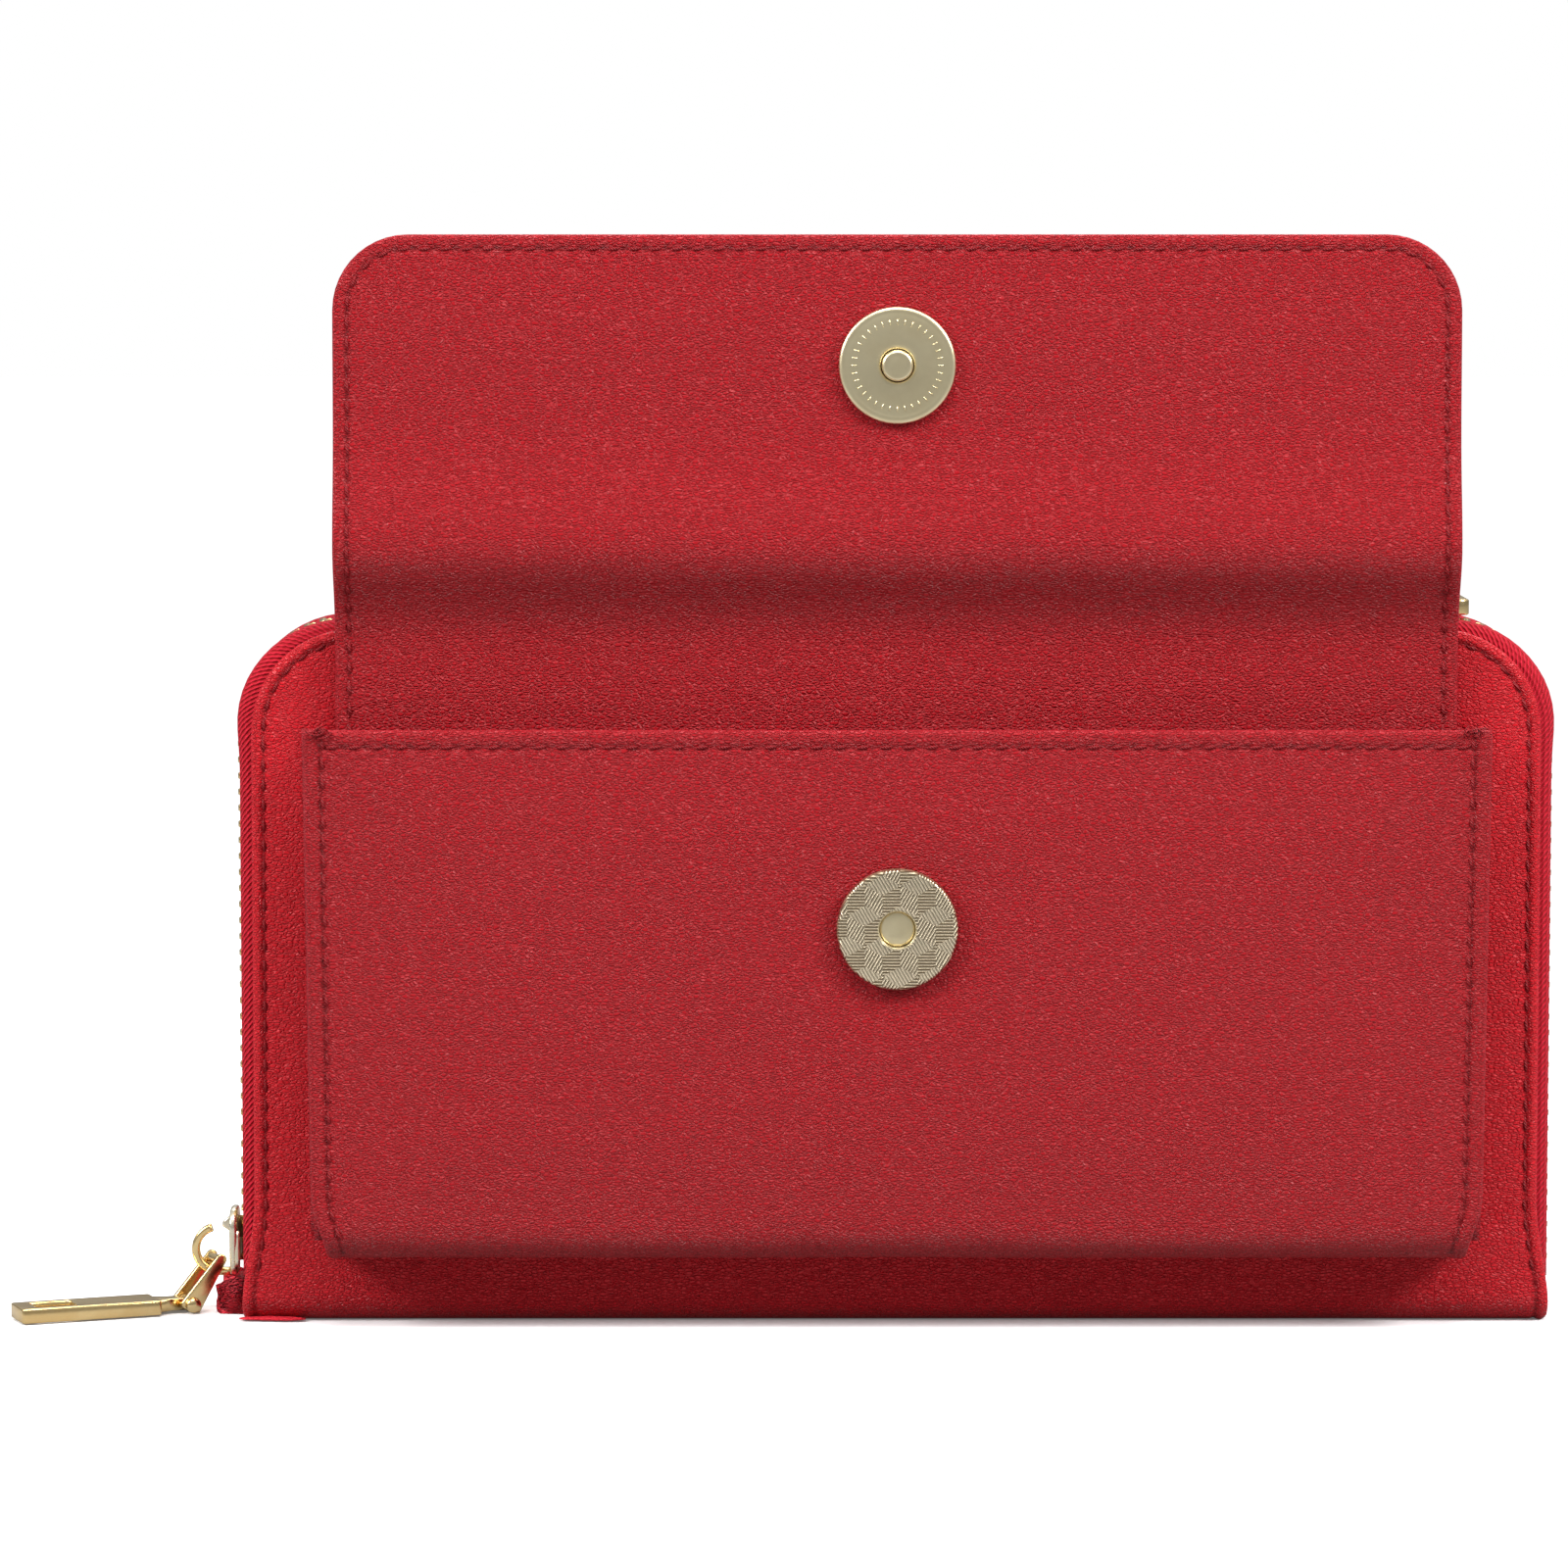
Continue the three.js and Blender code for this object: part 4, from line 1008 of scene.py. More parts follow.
# ---------------------------------------------------------------- flap
FLAP = {"half": FLAP_HIGH[0], "top": FLAP_HIGH[2], "radius": 11.5}
FLAP_ROOT_Y = -FACE - 1.75
FLAP_PLANE_Y = (FLAP_HIGH[1] + FLAP_FACE) / 2 - 0.1
FLAP_FRONT, FLAP_BACK = 0.55, -0.6                     # the middles of its two leathers, forward of its own
FLAP_SEAM = 2.2


def flap_curve(s):
    """The y of the middle of the flap's leathers: flat on the cover, then bulging over its top edge."""
    lift = smooth_step((s - 105.5) / 14)
    bulge = 3.1 * np.exp(-((s - 120.0) / np.where(s < 120, 6.5, 10.5)) ** 2)
    lean = 0.6 * smooth_step((s - 150) / 20)
    return FLAP_ROOT_Y + (FLAP_PLANE_Y - FLAP_ROOT_Y) * lift - bulge + lean


def flap_bend(layer):
    """Lays a flap leather whose middle stands layer in front of the flap's middle."""
    def bend(x, s, h):
        y, slope = flap_curve(s), (flap_curve(s + 0.1) - flap_curve(s - 0.1)) / 0.2
        size = np.sqrt(1 + slope ** 2)
        reach = layer + h
        wave = 0.25 * np.sin(x / 23.0 + 0.7) * smooth_step((s - 118) / 30)
        return np.stack([x, y - wave - reach / size, s + reach * slope / size], -1)
    return bend


def flap_leather(name, layer, thick, facing):
    """One of the flap's two leathers, which lie back to back; facing is -1 for the one that faces back."""
    profile = edge_profile(thick, FLAP["half"], groove=FLAP_SEAM, depth=0.16, swell=0.1, step=2.2)
    run = lambda d: open_run(d, FLAP["half"], FLAP["top"], FLAP["radius"], FLAP_FOOT, 70, 12, 50)
    points, uv = lay_panel(profile * [1, facing], run, flap_bend(layer))
    rings, count = points.shape[:2]
    foot = list(range(0, rings * count, count)) + list(range(rings * count - 1, 0, -count))
    return weld(make_mesh(name, points.reshape(-1, 3), grid_faces(rings, count) + [foot], uv))


def bends_with_flap(piece):
    """Bakes the piece's placing into its points, and gives the piece back."""
    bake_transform(piece)
    return piece


flap_outer = bends_with_flap(flap_leather("flap_outer_leather", FLAP_BACK, 1.1, -1))
fit(flap_outer, FLAP_RED, ["flap_outer", "flap_root"])
flap_lining = bends_with_flap(flap_leather("flap_lining_leather", FLAP_FRONT, 1.0, 1))
fit(flap_lining, FLAP_RED, ["flap_lining"])
flap_seam = open_run(FLAP_SEAM, FLAP["half"], FLAP["top"], FLAP["radius"], 84.0, 60, 14, 60)
sewn(bends_with_flap(seam_on_panel("flap_front_stitches", flap_seam, flap_bend(FLAP_FRONT), 0.42, 3.2)))
sewn(bends_with_flap(seam_on_panel("flap_back_stitches", flap_seam, flap_bend(FLAP_BACK), -0.48, 3.2)))


# ---------------------------------------------------------------- magnetic snap
def socket_cap():
    """A pressed cap: a flat face with a round rim, and a hole for the stud."""
    low, high, centre = SOCKET_LOW[1], SOCKET_HIGH[1], (0, SOCKET_Z)
    r = (SOCKET_HIGH[0] - SOCKET_LOW[0]) / 2
    turn = np.linspace(0, PI / 2, 7)
    rim = [(r - 0.55 + 0.55 * np.sin(t), low + 0.55 - 0.55 * np.cos(t)) for t in turn]
    profile = [(2.75, high), (2.75, low + 0.25), (2.79, low + 0.05), (2.88, low), (3.8, low), (6.0, low),
               *rim, (r, high), (r - 0.4, high), (r - 0.4, low + 0.8), (3.2, low + 0.8), (3.2, high),
               (2.75, high)]
    return weld(joined("snap_socket_face", [turned(profile, centre, 96)]))


def socket_core():
    """The dished disc that shows at the bottom of the socket's hole."""
    y = SOCKET_LOW[1] + 1.4
    profile = [(0.0, y + 0.05), (1.2, y + 0.03), (2.3, y), (2.6, y + 0.04), (2.74, y + 0.12),
               (2.74, y + 0.36), (0.0, y + 0.36)]
    return weld(joined("snap_socket_core", [turned(profile, (0, SOCKET_Z), 64)]))


def snap_disc():
    """A thin coined disc with a raised, round rim and 36 short ticks in a ring round the stud."""
    low, high = DISC_LOW[1], FLAP_PLANE_Y - 1.0
    r = (DISC_HIGH[0] - DISC_LOW[0]) / 2
    profile = [(2.55, high), (2.55, low + 0.2), (2.75, low + 0.1), (3.3, low + 0.12), (r - 1.5, low + 0.12),
               (r - 1.1, low + 0.06), (r - 0.6, low), (r - 0.2, low + 0.1), (r, low + 0.35), (r, high),
               (2.55, high)]
    ticks = []
    for angle in np.linspace(0, 2 * PI, 36, endpoint=False):
        way = np.array([np.cos(angle), 0, np.sin(angle)])
        across = np.array([-np.sin(angle), 0, np.cos(angle)])
        middle = np.array([0, low + 0.12, DISC_Z])
        path = np.stack([middle + way * 6.2, middle + way * 7.0])
        ticks.append(swept(path, rounded_section(0.16, 0.14, 0.05, 1), across, (0, 1, 0)))
    return weld(joined("snap_disc_face", [turned(profile, (0, DISC_Z), 96)] + ticks), 0.001)


def snap_stud():
    """A round post with a waist under its head."""
    low, high = corners("snap_stud")[0][1], DISC_HIGH[1]
    profile = [(0, low + 0.12), (1.3, low + 0.08), (1.9, low), (2.2, low + 0.1), (2.36, low + 0.4),
               (2.3, low + 0.8), (2.4, low + 1.3), (2.4, high), (0, high)]
    return weld(joined("snap_stud_head", [turned(profile, (0, DISC_Z), 64)]))


fit(socket_cap(), ENGRAVED, ["snap_socket_cap"], "front_half")
fit(socket_core(), PALE_GOLD, [], "front_half")
fit(snap_disc(), PALE_GOLD, ["snap_disc"], "flap")
fit(snap_stud(), PALE_GOLD, ["snap_stud"], "flap")
for node in ("snap_magnet", "snap_socket_washer", "snap_stud_washer"):
    for slot in bpy.data.objects[node].material_slots:
        slot.material = STEEL


# ---------------------------------------------------------------- zip slider and pull
SLIDER_LOW, SLIDER_HIGH = corners("slider_body")
PLATE_X = TEETH_HIGH[0] + 0.9                         # inner face of the slider's outer plate, on the left


def slider_outline(low, high, wide, narrow):
    """A shield: round at the top, straight sides that narrow downwards, round lower corners."""
    top, foot, r = high - 3.2, low + 1.2, 1.2
    return np.concatenate([
        arc_points(narrow - r, foot, r, -90, 0, 5),
        arc_points(wide - 3.0, top, 3.2, 0, 70, 7), arc_points(0, high - 4.5, 4.5, 78, 102, 5),
        arc_points(-wide + 3.0, top, 3.2, 110, 180, 7), arc_points(-narrow + r, foot, r, 180, 270, 5)])


def slider_body():
    """Outer plate with turned-in lips, inner plate, the post between them and the stop for the hook."""
    low, high = SLIDER_LOW[2], SLIDER_HIGH[2]
    outer = to_side(*plate(slider_outline(low, high, 4.2, 3.3), 1.15, 0.4), -PLATE_X - 0.6)
    inner = to_side(*plate(slider_outline(low + 1, high - 1, 4.0, 3.2), 1.0, 0.3), -TEETH_HIGH[0] + 2.4)
    post = swept([[-PLATE_X - 0.2, 0, high - 3.2], [-TEETH_HIGH[0] + 2.2, 0, high - 3.2]],
                 rounded_section(0.9, 3.4, 0.4), (0, 1, 0), (0, 0, 1))
    lips = []
    for side in (-1, 1):
        path = np.array([[-PLATE_X + 0.05, side * 3.5, z] for z in np.linspace(low + 1.5, high - 3.5, 6)])
        lips.append(swept(path, rounded_section(0.8, 0.7, 0.25), (1, 0, 0), (0, 1, 0)))
    wedge = np.array([[0.3, 11.9], [0.3, 14.6], [-0.4, 14.8], [-1.5, 13.9], [-1.5, 13.2], [-0.8, 12.8]])
    flat, faces = plate(wedge, 1.6, 0.25)
    stop = (np.column_stack([flat[:, 0] - PLATE_X - 1.0, flat[:, 2], flat[:, 1]]), faces)
    return weld(joined("slider_plates", [outer, inner, post, stop] + lips), 0.001)


def slider_hook():
    """Flat wire in an open hook: a foot on the plate, and a round turn outwards and back to the stop."""
    start = np.array([[-PLATE_X - 0.9, 0, 6.1], [-PLATE_X - 1.8, 0, 6.05]])
    flat = arc_points(-105.6, 9.6, 3.5, 270, 106, 24)
    path = np.concatenate([start, np.insert(flat, 1, 0, axis=1)])
    normal = np.cross(unit(np.gradient(path, axis=0)), (0, 1, 0))
    made = swept(path, rounded_section(1.6, 1.25, 0.4), (0, 1, 0), normal)
    return weld(joined("slider_hook_wire", [made]), 0.001)


EYE = HINGES["link_swing"]
PULL_AXIS = AXES["link_swing"]
PULL_ALONG = np.array([PULL_AXIS[1], -PULL_AXIS[0], 0])     # level, from the pull's far end to the wallet
PIN_OFFSET = HINGES["tab_swing"] - EYE
PIN_A = PIN_OFFSET @ PULL_ALONG
PIN_Z = PIN_OFFSET[2]


def in_pull(points):
    """(along, across, up) of the pull, from the hook's eye, as points in the frame."""
    return EYE + np.asarray(points, float) @ np.array([PULL_ALONG, PULL_AXIS, [0, 0, 1.0]])


def bar_across(half, steps, radius, count):
    """A round bar across the pull, as points and faces in (along, across, up)."""
    y = np.linspace(-half, half, steps)
    return swept(np.column_stack([0 * y, y, 0 * y]), round_section(radius, count), (1, 0, 0), (0, 0, 1))


def pull_link():
    """Two flat arms, narrow at the eye and broad at the pin, and the bar between them."""
    pin = np.array([PIN_A, PIN_Z])
    down = pin / np.linalg.norm(pin)
    wide = np.array([-down[1], down[0]])
    start = np.degrees(np.arctan2(wide[1], wide[0]))
    near, far = (pin + 0.5 * down + reach * wide for reach in (-1.05, 1.05))
    outline = np.concatenate([arc_points(*(-0.3 * down), 0.85, start, start + 180, 10),
                              arc_points(*near, 0.65, start - 180, start - 80, 6),
                              arc_points(*far, 0.65, start - 100, start, 6)])
    outline[:, 1] = np.maximum(outline[:, 1], 0.1 - EYE[2])
    flat, faces = plate(outline, 0.9, 0.26)
    parts = [(in_pull(np.column_stack([flat[:, 0], side * 2.4 + flat[:, 2], flat[:, 1]])), faces)
             for side in (-1, 1)]
    points, faces = bar_across(2.4, 7, 0.78, 20)
    return weld(joined("pull_link_arms", parts + [(in_pull(points), faces)]), 0.001)


def pull_pin():
    """A rivet through the arms and the bar's barrel, with low round heads."""
    profile = [(0, -3.85), (0.55, -3.82), (1.0, -3.65), (1.2, -3.4), (1.2, -3.2), (0.7, -3.1),
               (0.7, 3.1), (1.2, 3.2), (1.2, 3.4), (1.0, 3.65), (0.55, 3.82), (0, 3.85)]
    points, faces = turned(profile, (PIN_A, PIN_Z), 28)
    return weld(joined("pull_rivet", [(in_pull(points), faces)]), 0.001)


def pull_tab():
    """The bar: a thick flat plate with a window near its end, and a tongue with a barrel on the pin."""
    end = -27.5
    blade = plate(rounded_box_plan(end, -5.2, 3.7, 0.5, 5), 2.3, 0.28,
                  rounded_box_plan(end + 2.7, end + 9.1, 2.1, 0.3, 5))
    tongue = np.array([[-6.0, -2.9], [-3.2, -1.6], [-0.2, -1.6], [-0.2, 1.6], [-3.2, 1.6], [-6.0, 2.9]])
    parts = [(in_pull(points + [PIN_A, 0, PIN_Z]), faces)
             for points, faces in (blade, plate(tongue, 1.9, 0.25), bar_across(1.6, 5, 1.22, 28))]
    return weld(joined("pull_bar", parts), 0.001)


fit(slider_body(), SLIDER_GOLD, ["slider_body"], "zip_slider")
fit(slider_hook(), GOLD, ["slider_hook"], "zip_slider")
fit(pull_link(), GOLD, ["pull_link"], "pull_link")
fit(pull_pin(), GOLD, ["pull_pin"], "pull_link")
fit(pull_tab(), GOLD, ["pull_tab"], "pull_tab")


# ---------------------------------------------------------------- ends of the zip
def stop_block(node):
    """A small pressed metal block that fills its CAD node's box, with round edges, facing X."""
    low, high = corners(node)
    outline = rounded_box_plan(low[1], high[1], (high[2] - low[2]) / 2, 0.25) + [0, (low[2] + high[2]) / 2]
    points, faces = to_side(*plate(outline, high[0] - low[0], 0.25), (low[0] + high[0]) / 2)
    return weld(joined(f"{node}_pressed", [(points, faces)]), 0.001)


def squashed(points, amount, seed):
    """Moves points by three crossed waves, as a soft tab is pinched and creased."""
    x, y, z = points.T
    wave = np.stack([np.sin(y * 1.9 + z * 1.3 + seed), 0.4 * np.sin(z * 2.1 + x + seed),
                     np.sin(y * 1.4 + x * 1.7 + 2 * seed) * smooth_step(z / 2.5)], -1)
    return points + amount * wave


def end_tab(node, plan, seed):
    """A scrap of leather folded over the tape's end: a thick plate with round rims, in Y, then squashed."""
    low, high = corners(node)
    edge = 0.9
    outline = np.concatenate([np.linspace(a, b, 5)[:-1] for a, b in zip(plan, np.roll(plan, -1, 0))])
    normal = edge_normals(outline)
    rim = [(edge * (1 - np.sin(t)), edge * (1 - np.cos(t))) for t in np.linspace(0, PI / 2, 5)]
    layers = [(low[1] + rise, inset) for rise, inset in rim[:0:-1]]
    layers += [(y, 0) for y in np.linspace(low[1] + edge, high[1] - edge, 10)[1:-1]]
    layers += [(high[1] - rise, inset) for rise, inset in rim[1:]]
    rings = [np.insert(outline - normal * inset, 1, y, axis=1) for y, inset in layers]
    made = squashed(np.concatenate(rings), 0.3, seed)
    made[:, 2] = np.maximum(made[:, 2], 0.05)
    return weld(make_mesh(f"{node}_leather", made, tube_faces(len(layers), len(outline))))


def tape_tail():
    """The cut end of the tape, tucked forward under the wallet's rounded foot."""
    x = np.linspace(-101.5, -91.2, 15)[:, None]
    along = (x - x[0]) / (x[-1] - x[0])
    thick = 0.3 + 0.7 * np.sin(PI * along) ** 0.6
    angle = np.linspace(0, 2 * PI, 14, endpoint=False)
    y = -10.9 + 0.3 * np.sin(along * 5) + 1.3 * thick * np.cos(angle)
    z = 0.42 + 0.36 * thick * np.sin(angle)
    points = np.stack(np.broadcast_arrays(x, y, z), -1)
    return weld(make_mesh("zip_tape_tail", points.reshape(-1, 3), tube_faces(*y.shape)))


for end, body in (("back", "back_half"), ("front", "front_half"), ("end", "back_half")):
    fit(stop_block(f"zip_stop_{end}"), GOLD, [f"zip_stop_{end}"], body)
LEFT_TAB = np.array([[-104.2, 0.3], [-104.9, 2.2], [-104.6, 4.2], [-102.6, 5.1], [-99.6, 5.0], [-99.6, 0.25]])
RIGHT_TAB = np.array([[98.6, 0.25], [100.7, 0.25], [101.2, 1.6], [101.1, 3.8], [100.4, 4.5], [98.6, 4.5]])
for node, plan, seed in (("zip_end_tab_left", LEFT_TAB, 0.4), ("zip_end_tab_right", RIGHT_TAB, 1.9)):
    fit(end_tab(node, plan, seed), END_RED_PAINTED_LIGHTER, [node], "back_half")
fit(tape_tail(), END_RED_PAINTED_LIGHTER, [], "back_half")


# ---------------------------------------------------------------- inside of the wallet
def gusset(name, side):
    """Zigzag cloth between the halves: a folded line in X and Y, carried up in Z.

    Across, it is the middle plus the swing times arcsin(0.94 cos) / arcsin(0.94), a rounded zigzag."""
    low, high = corners(name)
    outer, inner = (high[0], low[0]) if side > 0 else (-low[0], -high[0])
    y = np.linspace(high[1] - 0.1, low[1] + 0.1, 41)
    fold = np.arcsin(0.94 * np.cos(y / (high[1] - 0.1) * 2 * PI)) / np.arcsin(0.94)
    x = (inner + outer) / 2 + (outer - inner - 1.0) / 2 * fold
    points = upright(ribbon(np.column_stack([x, y]), 0.22) * [side, 1], np.linspace(low[2], high[2], 20))
    piece = weld(make_mesh(f"{name}_cloth", points.reshape(-1, 3), tube_faces(*points.shape[:2])))
    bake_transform(piece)
    return fit(piece, CLOTH_RED, [name])


def strip(name, node):
    """A thin flat strip along X that fills its CAD node's box, with UV (x, y)."""
    low, high = corners(node)
    size, middle = high - low, (low + high) / 2
    section = rounded_section(size[1], size[2], min(size[1], size[2]) * 0.45)
    x = np.linspace(low[0], high[0], 33)
    path = np.column_stack([x, np.full(33, middle[1]), np.full(33, middle[2])])
    points, faces = swept(path, section, (0, 1, 0), (0, 0, 1))
    return weld(make_mesh(name, points, faces, points[:, :2] * MM))


def card_threads(half, side):
    """A seam under each card slot's edge, and one down the middle that parts the cards into two columns."""
    boxes = [corners(f"{half}_card_slot_{k}") for k in range(1, 5)]
    feet = [high[2] + 0.6 for low, high in boxes[1:]] + [8.5]
    made = []
    for k, ((low, high), foot) in enumerate(zip(boxes, feet)):
        y = (low[1] if side > 0 else high[1]) - side * 0.05
        level = np.column_stack([np.linspace(-86, 86, 30), np.full(30, y), np.full(30, high[2] - 1.8)])
        down = np.column_stack([np.zeros(8), np.full(8, y), np.linspace(high[2] - 2.6, foot, 8)])
        for name, line in ((f"{half}_slot_thread_{k}", level), (f"{half}_slot_thread_mid_{k}", down)):
            made.append(seam(name, line, np.tile([0, -side, 0], (len(line), 1)), 3.0, 2.2, 0.4))
    return made


for half, side in (("front", -1), ("back", 1)):
    body = f"{half}_half"
    lining = flat_panel(f"{half}_lining_cloth", f"{half}_lining", 12.0, 1.5, -side)
    fit(lining, CLOTH_RED, [f"{half}_lining"], body)
    for k in range(1, 5):
        node = f"{half}_card_slot_{k}"
        card = flat_panel(f"{node}_leather", node, 3.0, 0.6, -side, step=20.0)
        fit(card, LEATHER_RED_PAINTED_LIGHTER, [node], body)
    for piece in card_threads(half, side):
        sewn(piece, body)
gusset("gusset_left", -1)
gusset("gusset_right", 1)
for name, node, body in (("spine_lining_cloth", "spine_lining", "back_half"),
                         ("coin_floor_cloth", "coin_pocket_floor", "divider")):
    fit(strip(name, node), CLOTH_RED, [node], body)
pocket_cloth = flat_panel("pocket_lining_cloth", "pocket_lining", 1.0, 1.0, 1, step=16.0)
fit(pocket_cloth, CLOTH_RED, ["pocket_lining"], "front_half")


# ---------------------------------------------------------------- coin pocket
def coin_slider():
    """Two round-ended plates over and under the small zip, a web between them and two lugs for the pull."""
    low, high = corners("coin_slider")
    plates = ((plate(rounded_box_plan(low[0], high[0], 1.9, 1.3, 6), 0.9, 0.25), 93.65),
              (plate(rounded_box_plan(low[0] + 1, high[0] - 1, 1.1, 0.8, 6), 0.8, 0.2), 90.6),
              (plate(rounded_box_plan(low[0] + 2, low[0] + 4.5, 0.3, 0.15, 3), 2.6, 0.05), 92.1))
    parts = [(points + [0, 0, z], faces) for (points, faces), z in plates]
    lug = arc_points(0, 0, 1.0, 0, 180, 9) * [0.95, 1.1] + [0, 94.5]
    flat, faces = plate(np.concatenate([[[0.95, 93.8]], lug, [[-0.95, 93.8]]]), 0.45, 0.12)
    for y in (-1.67, 1.67):
        parts.append((np.column_stack([flat[:, 0] + low[0] + 2.4, flat[:, 2] + y, flat[:, 1]]), faces))
    return weld(joined("coin_slider_plates", parts), 0.001)


def coin_pull():
    """A small flat pull that widens to a round end with a long hole."""
    low, high = corners("coin_pull")
    outline = np.concatenate([arc_points(low[0] + 0.9, 0, 0.8, 90, 270, 10),
                              arc_points(high[0] - 1.2, 0, 1.15, -80, 80, 10)])
    window = arc_points(0, 0, 0.45, 90, 450, 21)[:-1] * [3.2, 1] + [high[0] - 3.4, 0]
    points, faces = plate(outline, high[2] - low[2], 0.2, window)
    return weld(joined("coin_pull_plate", [(points + [0, 0, (low[2] + high[2]) / 2], faces)]), 0.001)


def coin_teeth(half, side):
    """One half's row of small teeth, along the middle of its CAD node's box."""
    low, high = corners(f"coin_zip_teeth_{half}")
    line = np.column_stack([np.linspace(low[0], high[0], 9), np.zeros(9), np.full(9, (low[2] + high[2]) / 2)])
    return teeth(f"coin_zip_teeth_{half}_row", line, np.tile([0, 0, 1.0], (9, 1)), side,
                 0.25 + 0.25 * side, pitch=1.25, size=0.46)


for half, side in (("front", -1), ("back", 1)):
    wall, tape = f"coin_pocket_{half}", f"coin_zip_tape_{half}"
    piece = flat_panel(f"{wall}_leather", wall, 2.0, 2.0, side, step=16.0)
    fit(piece, LEATHER_RED_PAINTED_LIGHTER, [wall], "divider")
    fit(strip(f"{tape}_woven", tape), TAPE_RED, [tape], "divider")
    fit(coin_teeth(half, side), GOLD, [f"coin_zip_teeth_{half}"], "divider")
fit(coin_slider(), GOLD, ["coin_slider"], "coin_slider")
fit(coin_pull(), GOLD, ["coin_pull"], "coin_pull")


# ---------------------------------------------------------------- wrist-strap ring
RING_LOW, RING_HIGH = corners("strap_ring")
TAB_LOW, TAB_HIGH = corners("strap_tab")
RING_PIVOT = HINGES["strap_ring_swing"]


def strap_ring():
    """Square wire with soft edges, carried round a rectangle with tight corners."""
    wire = RING_HIGH[2] - RING_LOW[2]
    middle = (RING_LOW + RING_HIGH) / 2
    half = (RING_HIGH - RING_LOW) / 2 - wire / 2
    loop = rounded_box_plan(-half[0], half[0], half[1], 0.9, 8) + middle[:2]
    path, side = np.insert(loop, 2, middle[2], axis=1), np.insert(edge_normals(loop), 2, 0, axis=1)
    made = swept(path, rounded_section(wire, 1.35 * wire, 0.3), side, (0, 0, 1), closed=True)
    return weld(joined("strap_ring_wire", [made]), 0.001)


def strap_tab():
    """A narrow leather that goes up the back cover, then round the ring's back bar."""
    y, z = RING_PIVOT[1:]
    rise = np.column_stack([np.full(16, FACE + 0.85), np.linspace(TAB_LOW[2], z - 2.0, 16)])
    line = np.concatenate([rise, arc_points(y, z, 2.0, -18, 262, 22)])
    way = unit(np.gradient(line, axis=0))
    normal = np.column_stack([np.zeros(len(line)), way[:, 1], -way[:, 0]])
    section = rounded_section(TAB_HIGH[0] - TAB_LOW[0], 0.95, 0.42)
    made = swept(np.insert(line, 0, RING_PIVOT[0], axis=1), section, (1, 0, 0), normal)
    return weld(joined("strap_tab_leather", [made]), 0.002)


def strap_tab_seam(name, side):
    """A short seam up one side of the tab."""
    z = np.linspace(TAB_LOW[2] + 1.2, RING_PIVOT[2] - 4.5, 12)
    line = np.column_stack([np.full(12, RING_PIVOT[0] + side * 4.6), np.full(12, FACE + 1.3), z])
    return seam(f"strap_tab_{name}_stitches", line, np.tile([0, 1.0, 0], (12, 1)), 2.6, 2.0, 0.5)


def strap_rivet():
    """A low dome on a short rim."""
    low, high = corners("strap_tab_rivet")
    r, y = (high[0] - low[0]) / 2, low[1] - 0.15
    profile = [(0, y), (r, y), (r, y + 0.25), (r * 0.96, y + 0.5), (r * 0.8, y + 0.82), (r * 0.5, y + 1.05),
               (0, y + 1.15)]
    centre = ((low[0] + high[0]) / 2, (low[2] + high[2]) / 2)
    return weld(joined("strap_rivet_head", [turned(profile, centre, 32)]), 0.001)


fit(strap_ring(), GOLD, ["strap_ring"], "strap_ring")
fit(strap_tab(), LEATHER_RED_PAINTED_LIGHTER, ["strap_tab"], "back_half")
fit(strap_rivet(), GOLD, ["strap_tab_rivet"], "back_half")
sewn(strap_tab_seam("left", -1), "back_half")
sewn(strap_tab_seam("right", 1), "back_half")


# ---------------------------------------------------------------- floor, lights and camera
def studio_floor():
    """A level floor. Away from the wallet it glows softly, so that it meets the pale background.

    It throws less light up than it shows, as a floor outside the lamps' pool does."""
    mesh = bpy.data.meshes.new("floor")
    mesh.from_pydata([(-6, -6, 0), (6, -6, 0), (6, 6, 0), (-6, 6, 0)], [], [(0, 1, 2, 3)])
    floor = bpy.data.objects.new("floor", mesh)
    bpy.context.scene.collection.objects.link(floor)
    material, tree, shader, place = new_material("studio floor", Roughness=0.85, Specular_IOR_Level=0.15,
                                                 Emission_Strength=1.0)
    away = vector_node(tree, "LENGTH", place.outputs["Object"])
    far = ramp(tree, away, 0.1, 0.75)
    rays = tree.nodes.new("ShaderNodeLightPath")
    seen = mix_colour(tree, far, (0.95, 0.95, 0.955, 1), (0.1, 0.1, 0.1, 1))
    glow = mix_colour(tree, far, (0.1, 0.1, 0.1, 1), (0.95, 0.95, 0.955, 1))
    bounce = sum_node(tree, "MULTIPLY_ADD", rays.outputs["Is Camera Ray"], 0.65, 0.35)
    black = (0, 0, 0, 1)
    feed(tree, shader.inputs["Base Color"], mix_colour(tree, bounce, black, seen))
    feed(tree, shader.inputs["Emission Color"], mix_colour(tree, bounce, black, glow))
    mesh.materials.append(material)


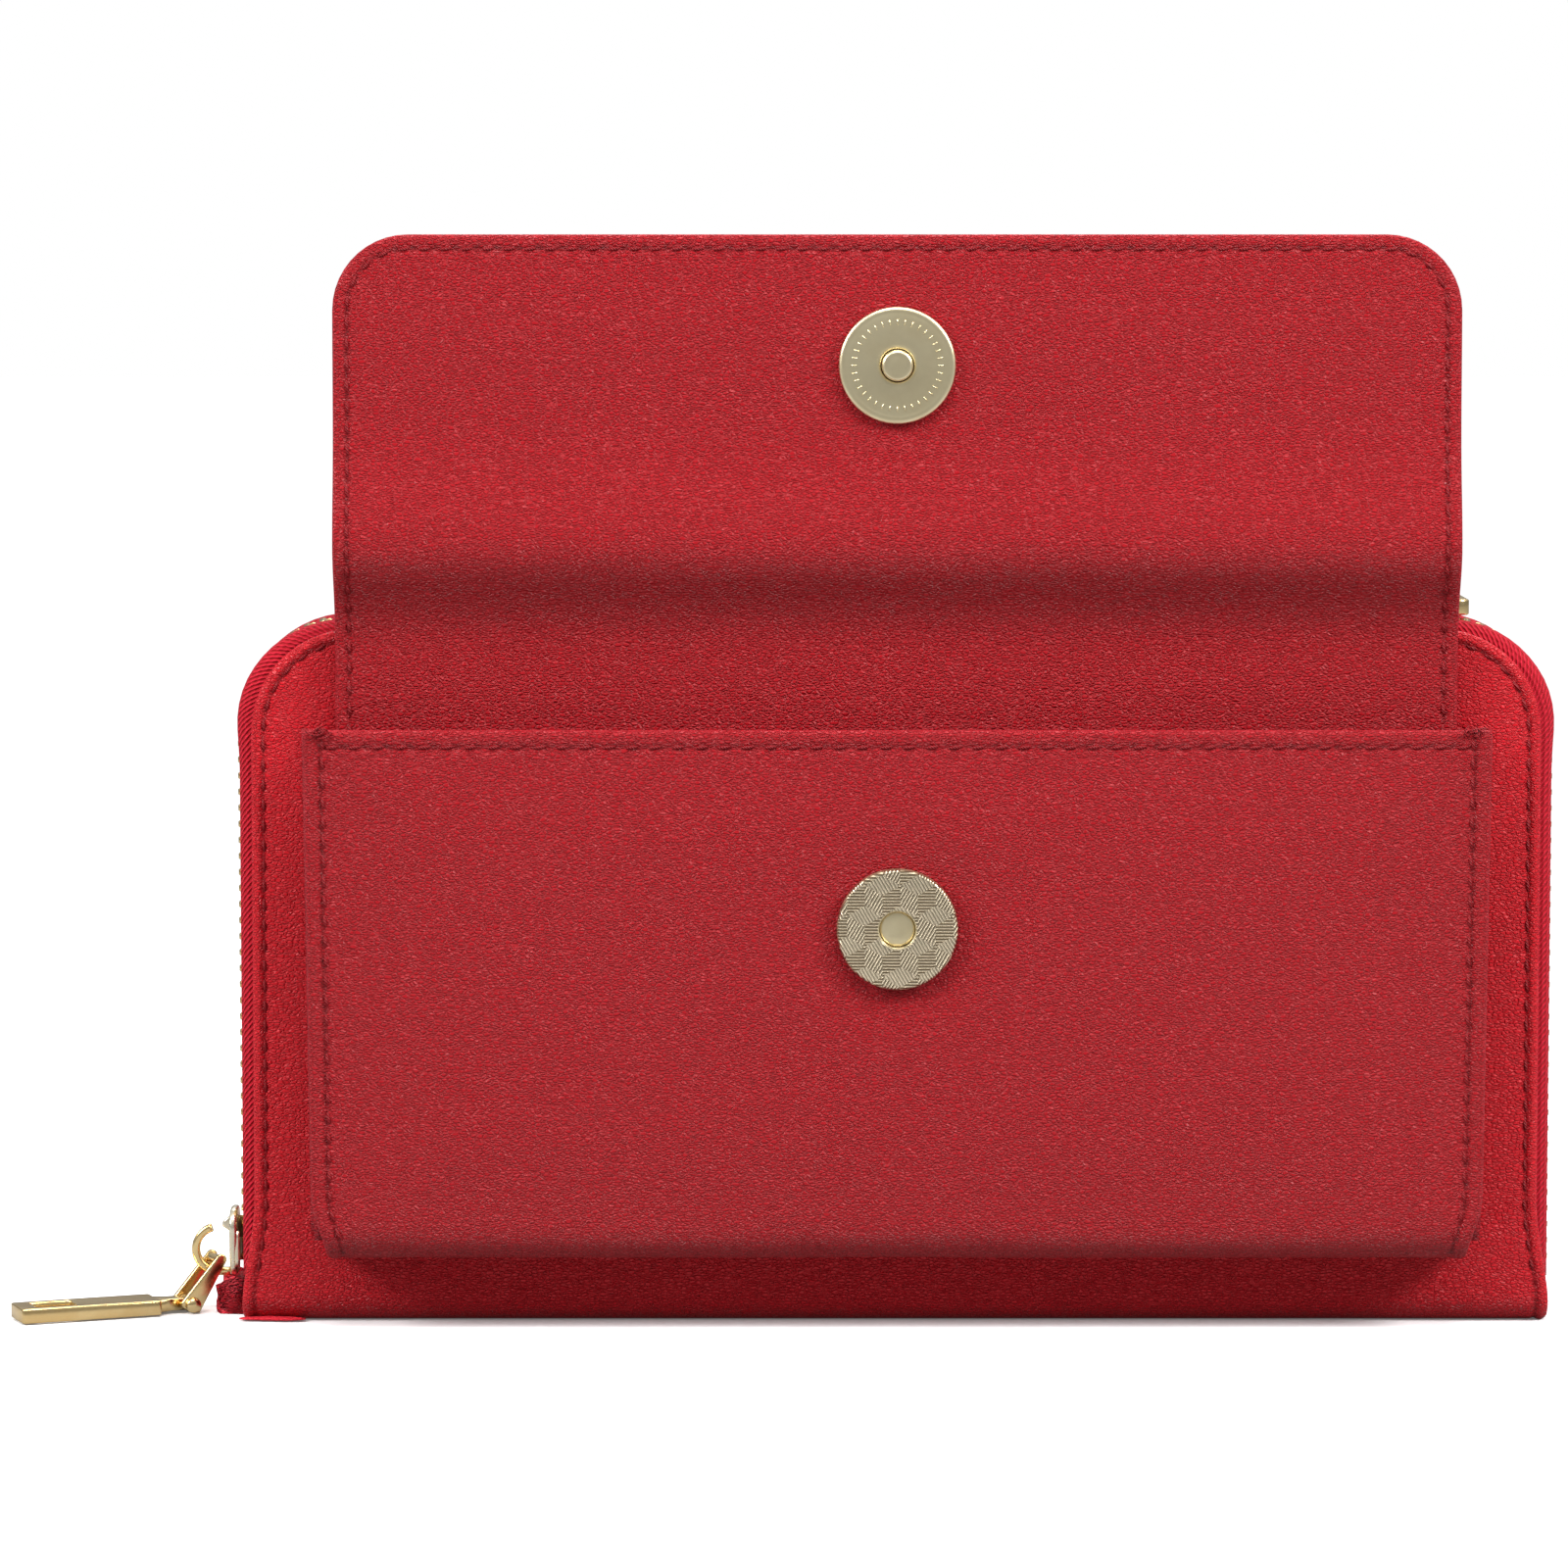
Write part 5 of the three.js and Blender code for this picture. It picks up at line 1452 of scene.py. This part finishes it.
def soft_lamp(name, spot, aim, width, depth, power):
    """A rectangular lamp at spot that faces aim."""
    lamp = bpy.data.lights.new(name, "AREA")
    lamp.shape, lamp.size, lamp.size_y, lamp.energy = "RECTANGLE", width, depth, power
    holder = bpy.data.objects.new(name, lamp)
    bpy.context.scene.collection.objects.link(holder)
    holder.location = spot
    holder.rotation_euler = (Vector(spot) - Vector(aim)).to_track_quat("Z", "Y").to_euler()


def pale_world(seen, low, high):
    """The background is seen pale. It lights the wallet with less: low below the horizon, high overhead."""
    world = bpy.data.worlds.new("studio")
    bpy.context.scene.world = world
    world.use_nodes = True
    tree = world.node_tree
    back = tree.nodes["Background"]
    back.inputs["Color"].default_value = (1, 1, 1, 1)
    rays = tree.nodes.new("ShaderNodeLightPath")
    place = tree.nodes.new("ShaderNodeTexCoord")
    lit = ramp(tree, separate(tree, place.outputs["Generated"])[2], -0.1, 0.8, low, high)
    beyond = sum_node(tree, "SUBTRACT", seen, lit)
    strength = sum_node(tree, "MULTIPLY_ADD", rays.outputs["Is Camera Ray"], beyond, lit)
    tree.links.new(strength, back.inputs["Strength"])


def set_camera(target, distance, elevation, lens):
    """A camera in front of the wallet, elevation degrees above the target."""
    data = bpy.data.cameras.new("camera")
    data.lens, data.sensor_width = lens, 36
    camera = bpy.data.objects.new("camera", data)
    bpy.context.scene.collection.objects.link(camera)
    away = Vector((0, -np.cos(np.radians(elevation)), np.sin(np.radians(elevation))))
    camera.location = Vector(target) + distance * away
    camera.rotation_euler = away.to_track_quat("Z", "Y").to_euler()
    bpy.context.scene.camera = camera


studio_floor()
pale_world(1.0, 0.16, 0.72)
MIDDLE = (0, 0, 0.08)
soft_lamp("key light", (0.0, -0.45, 0.95), MIDDLE, 0.55, 0.35, 6.6)
soft_lamp("right light", (0.9, -0.5, 0.8), MIDDLE, 0.45, 0.45, 15.0)
soft_lamp("left light", (-0.95, -0.5, 0.7), MIDDLE, 0.45, 0.45, 11.8)
soft_lamp("back light", (0.2, 0.9, 1.1), MIDDLE, 1.0, 0.6, 8)
set_camera((-0.0172, 0, 0.0825), 1.0, 5.0, 147.8)
bpy.context.scene.view_settings.view_transform = "Standard"
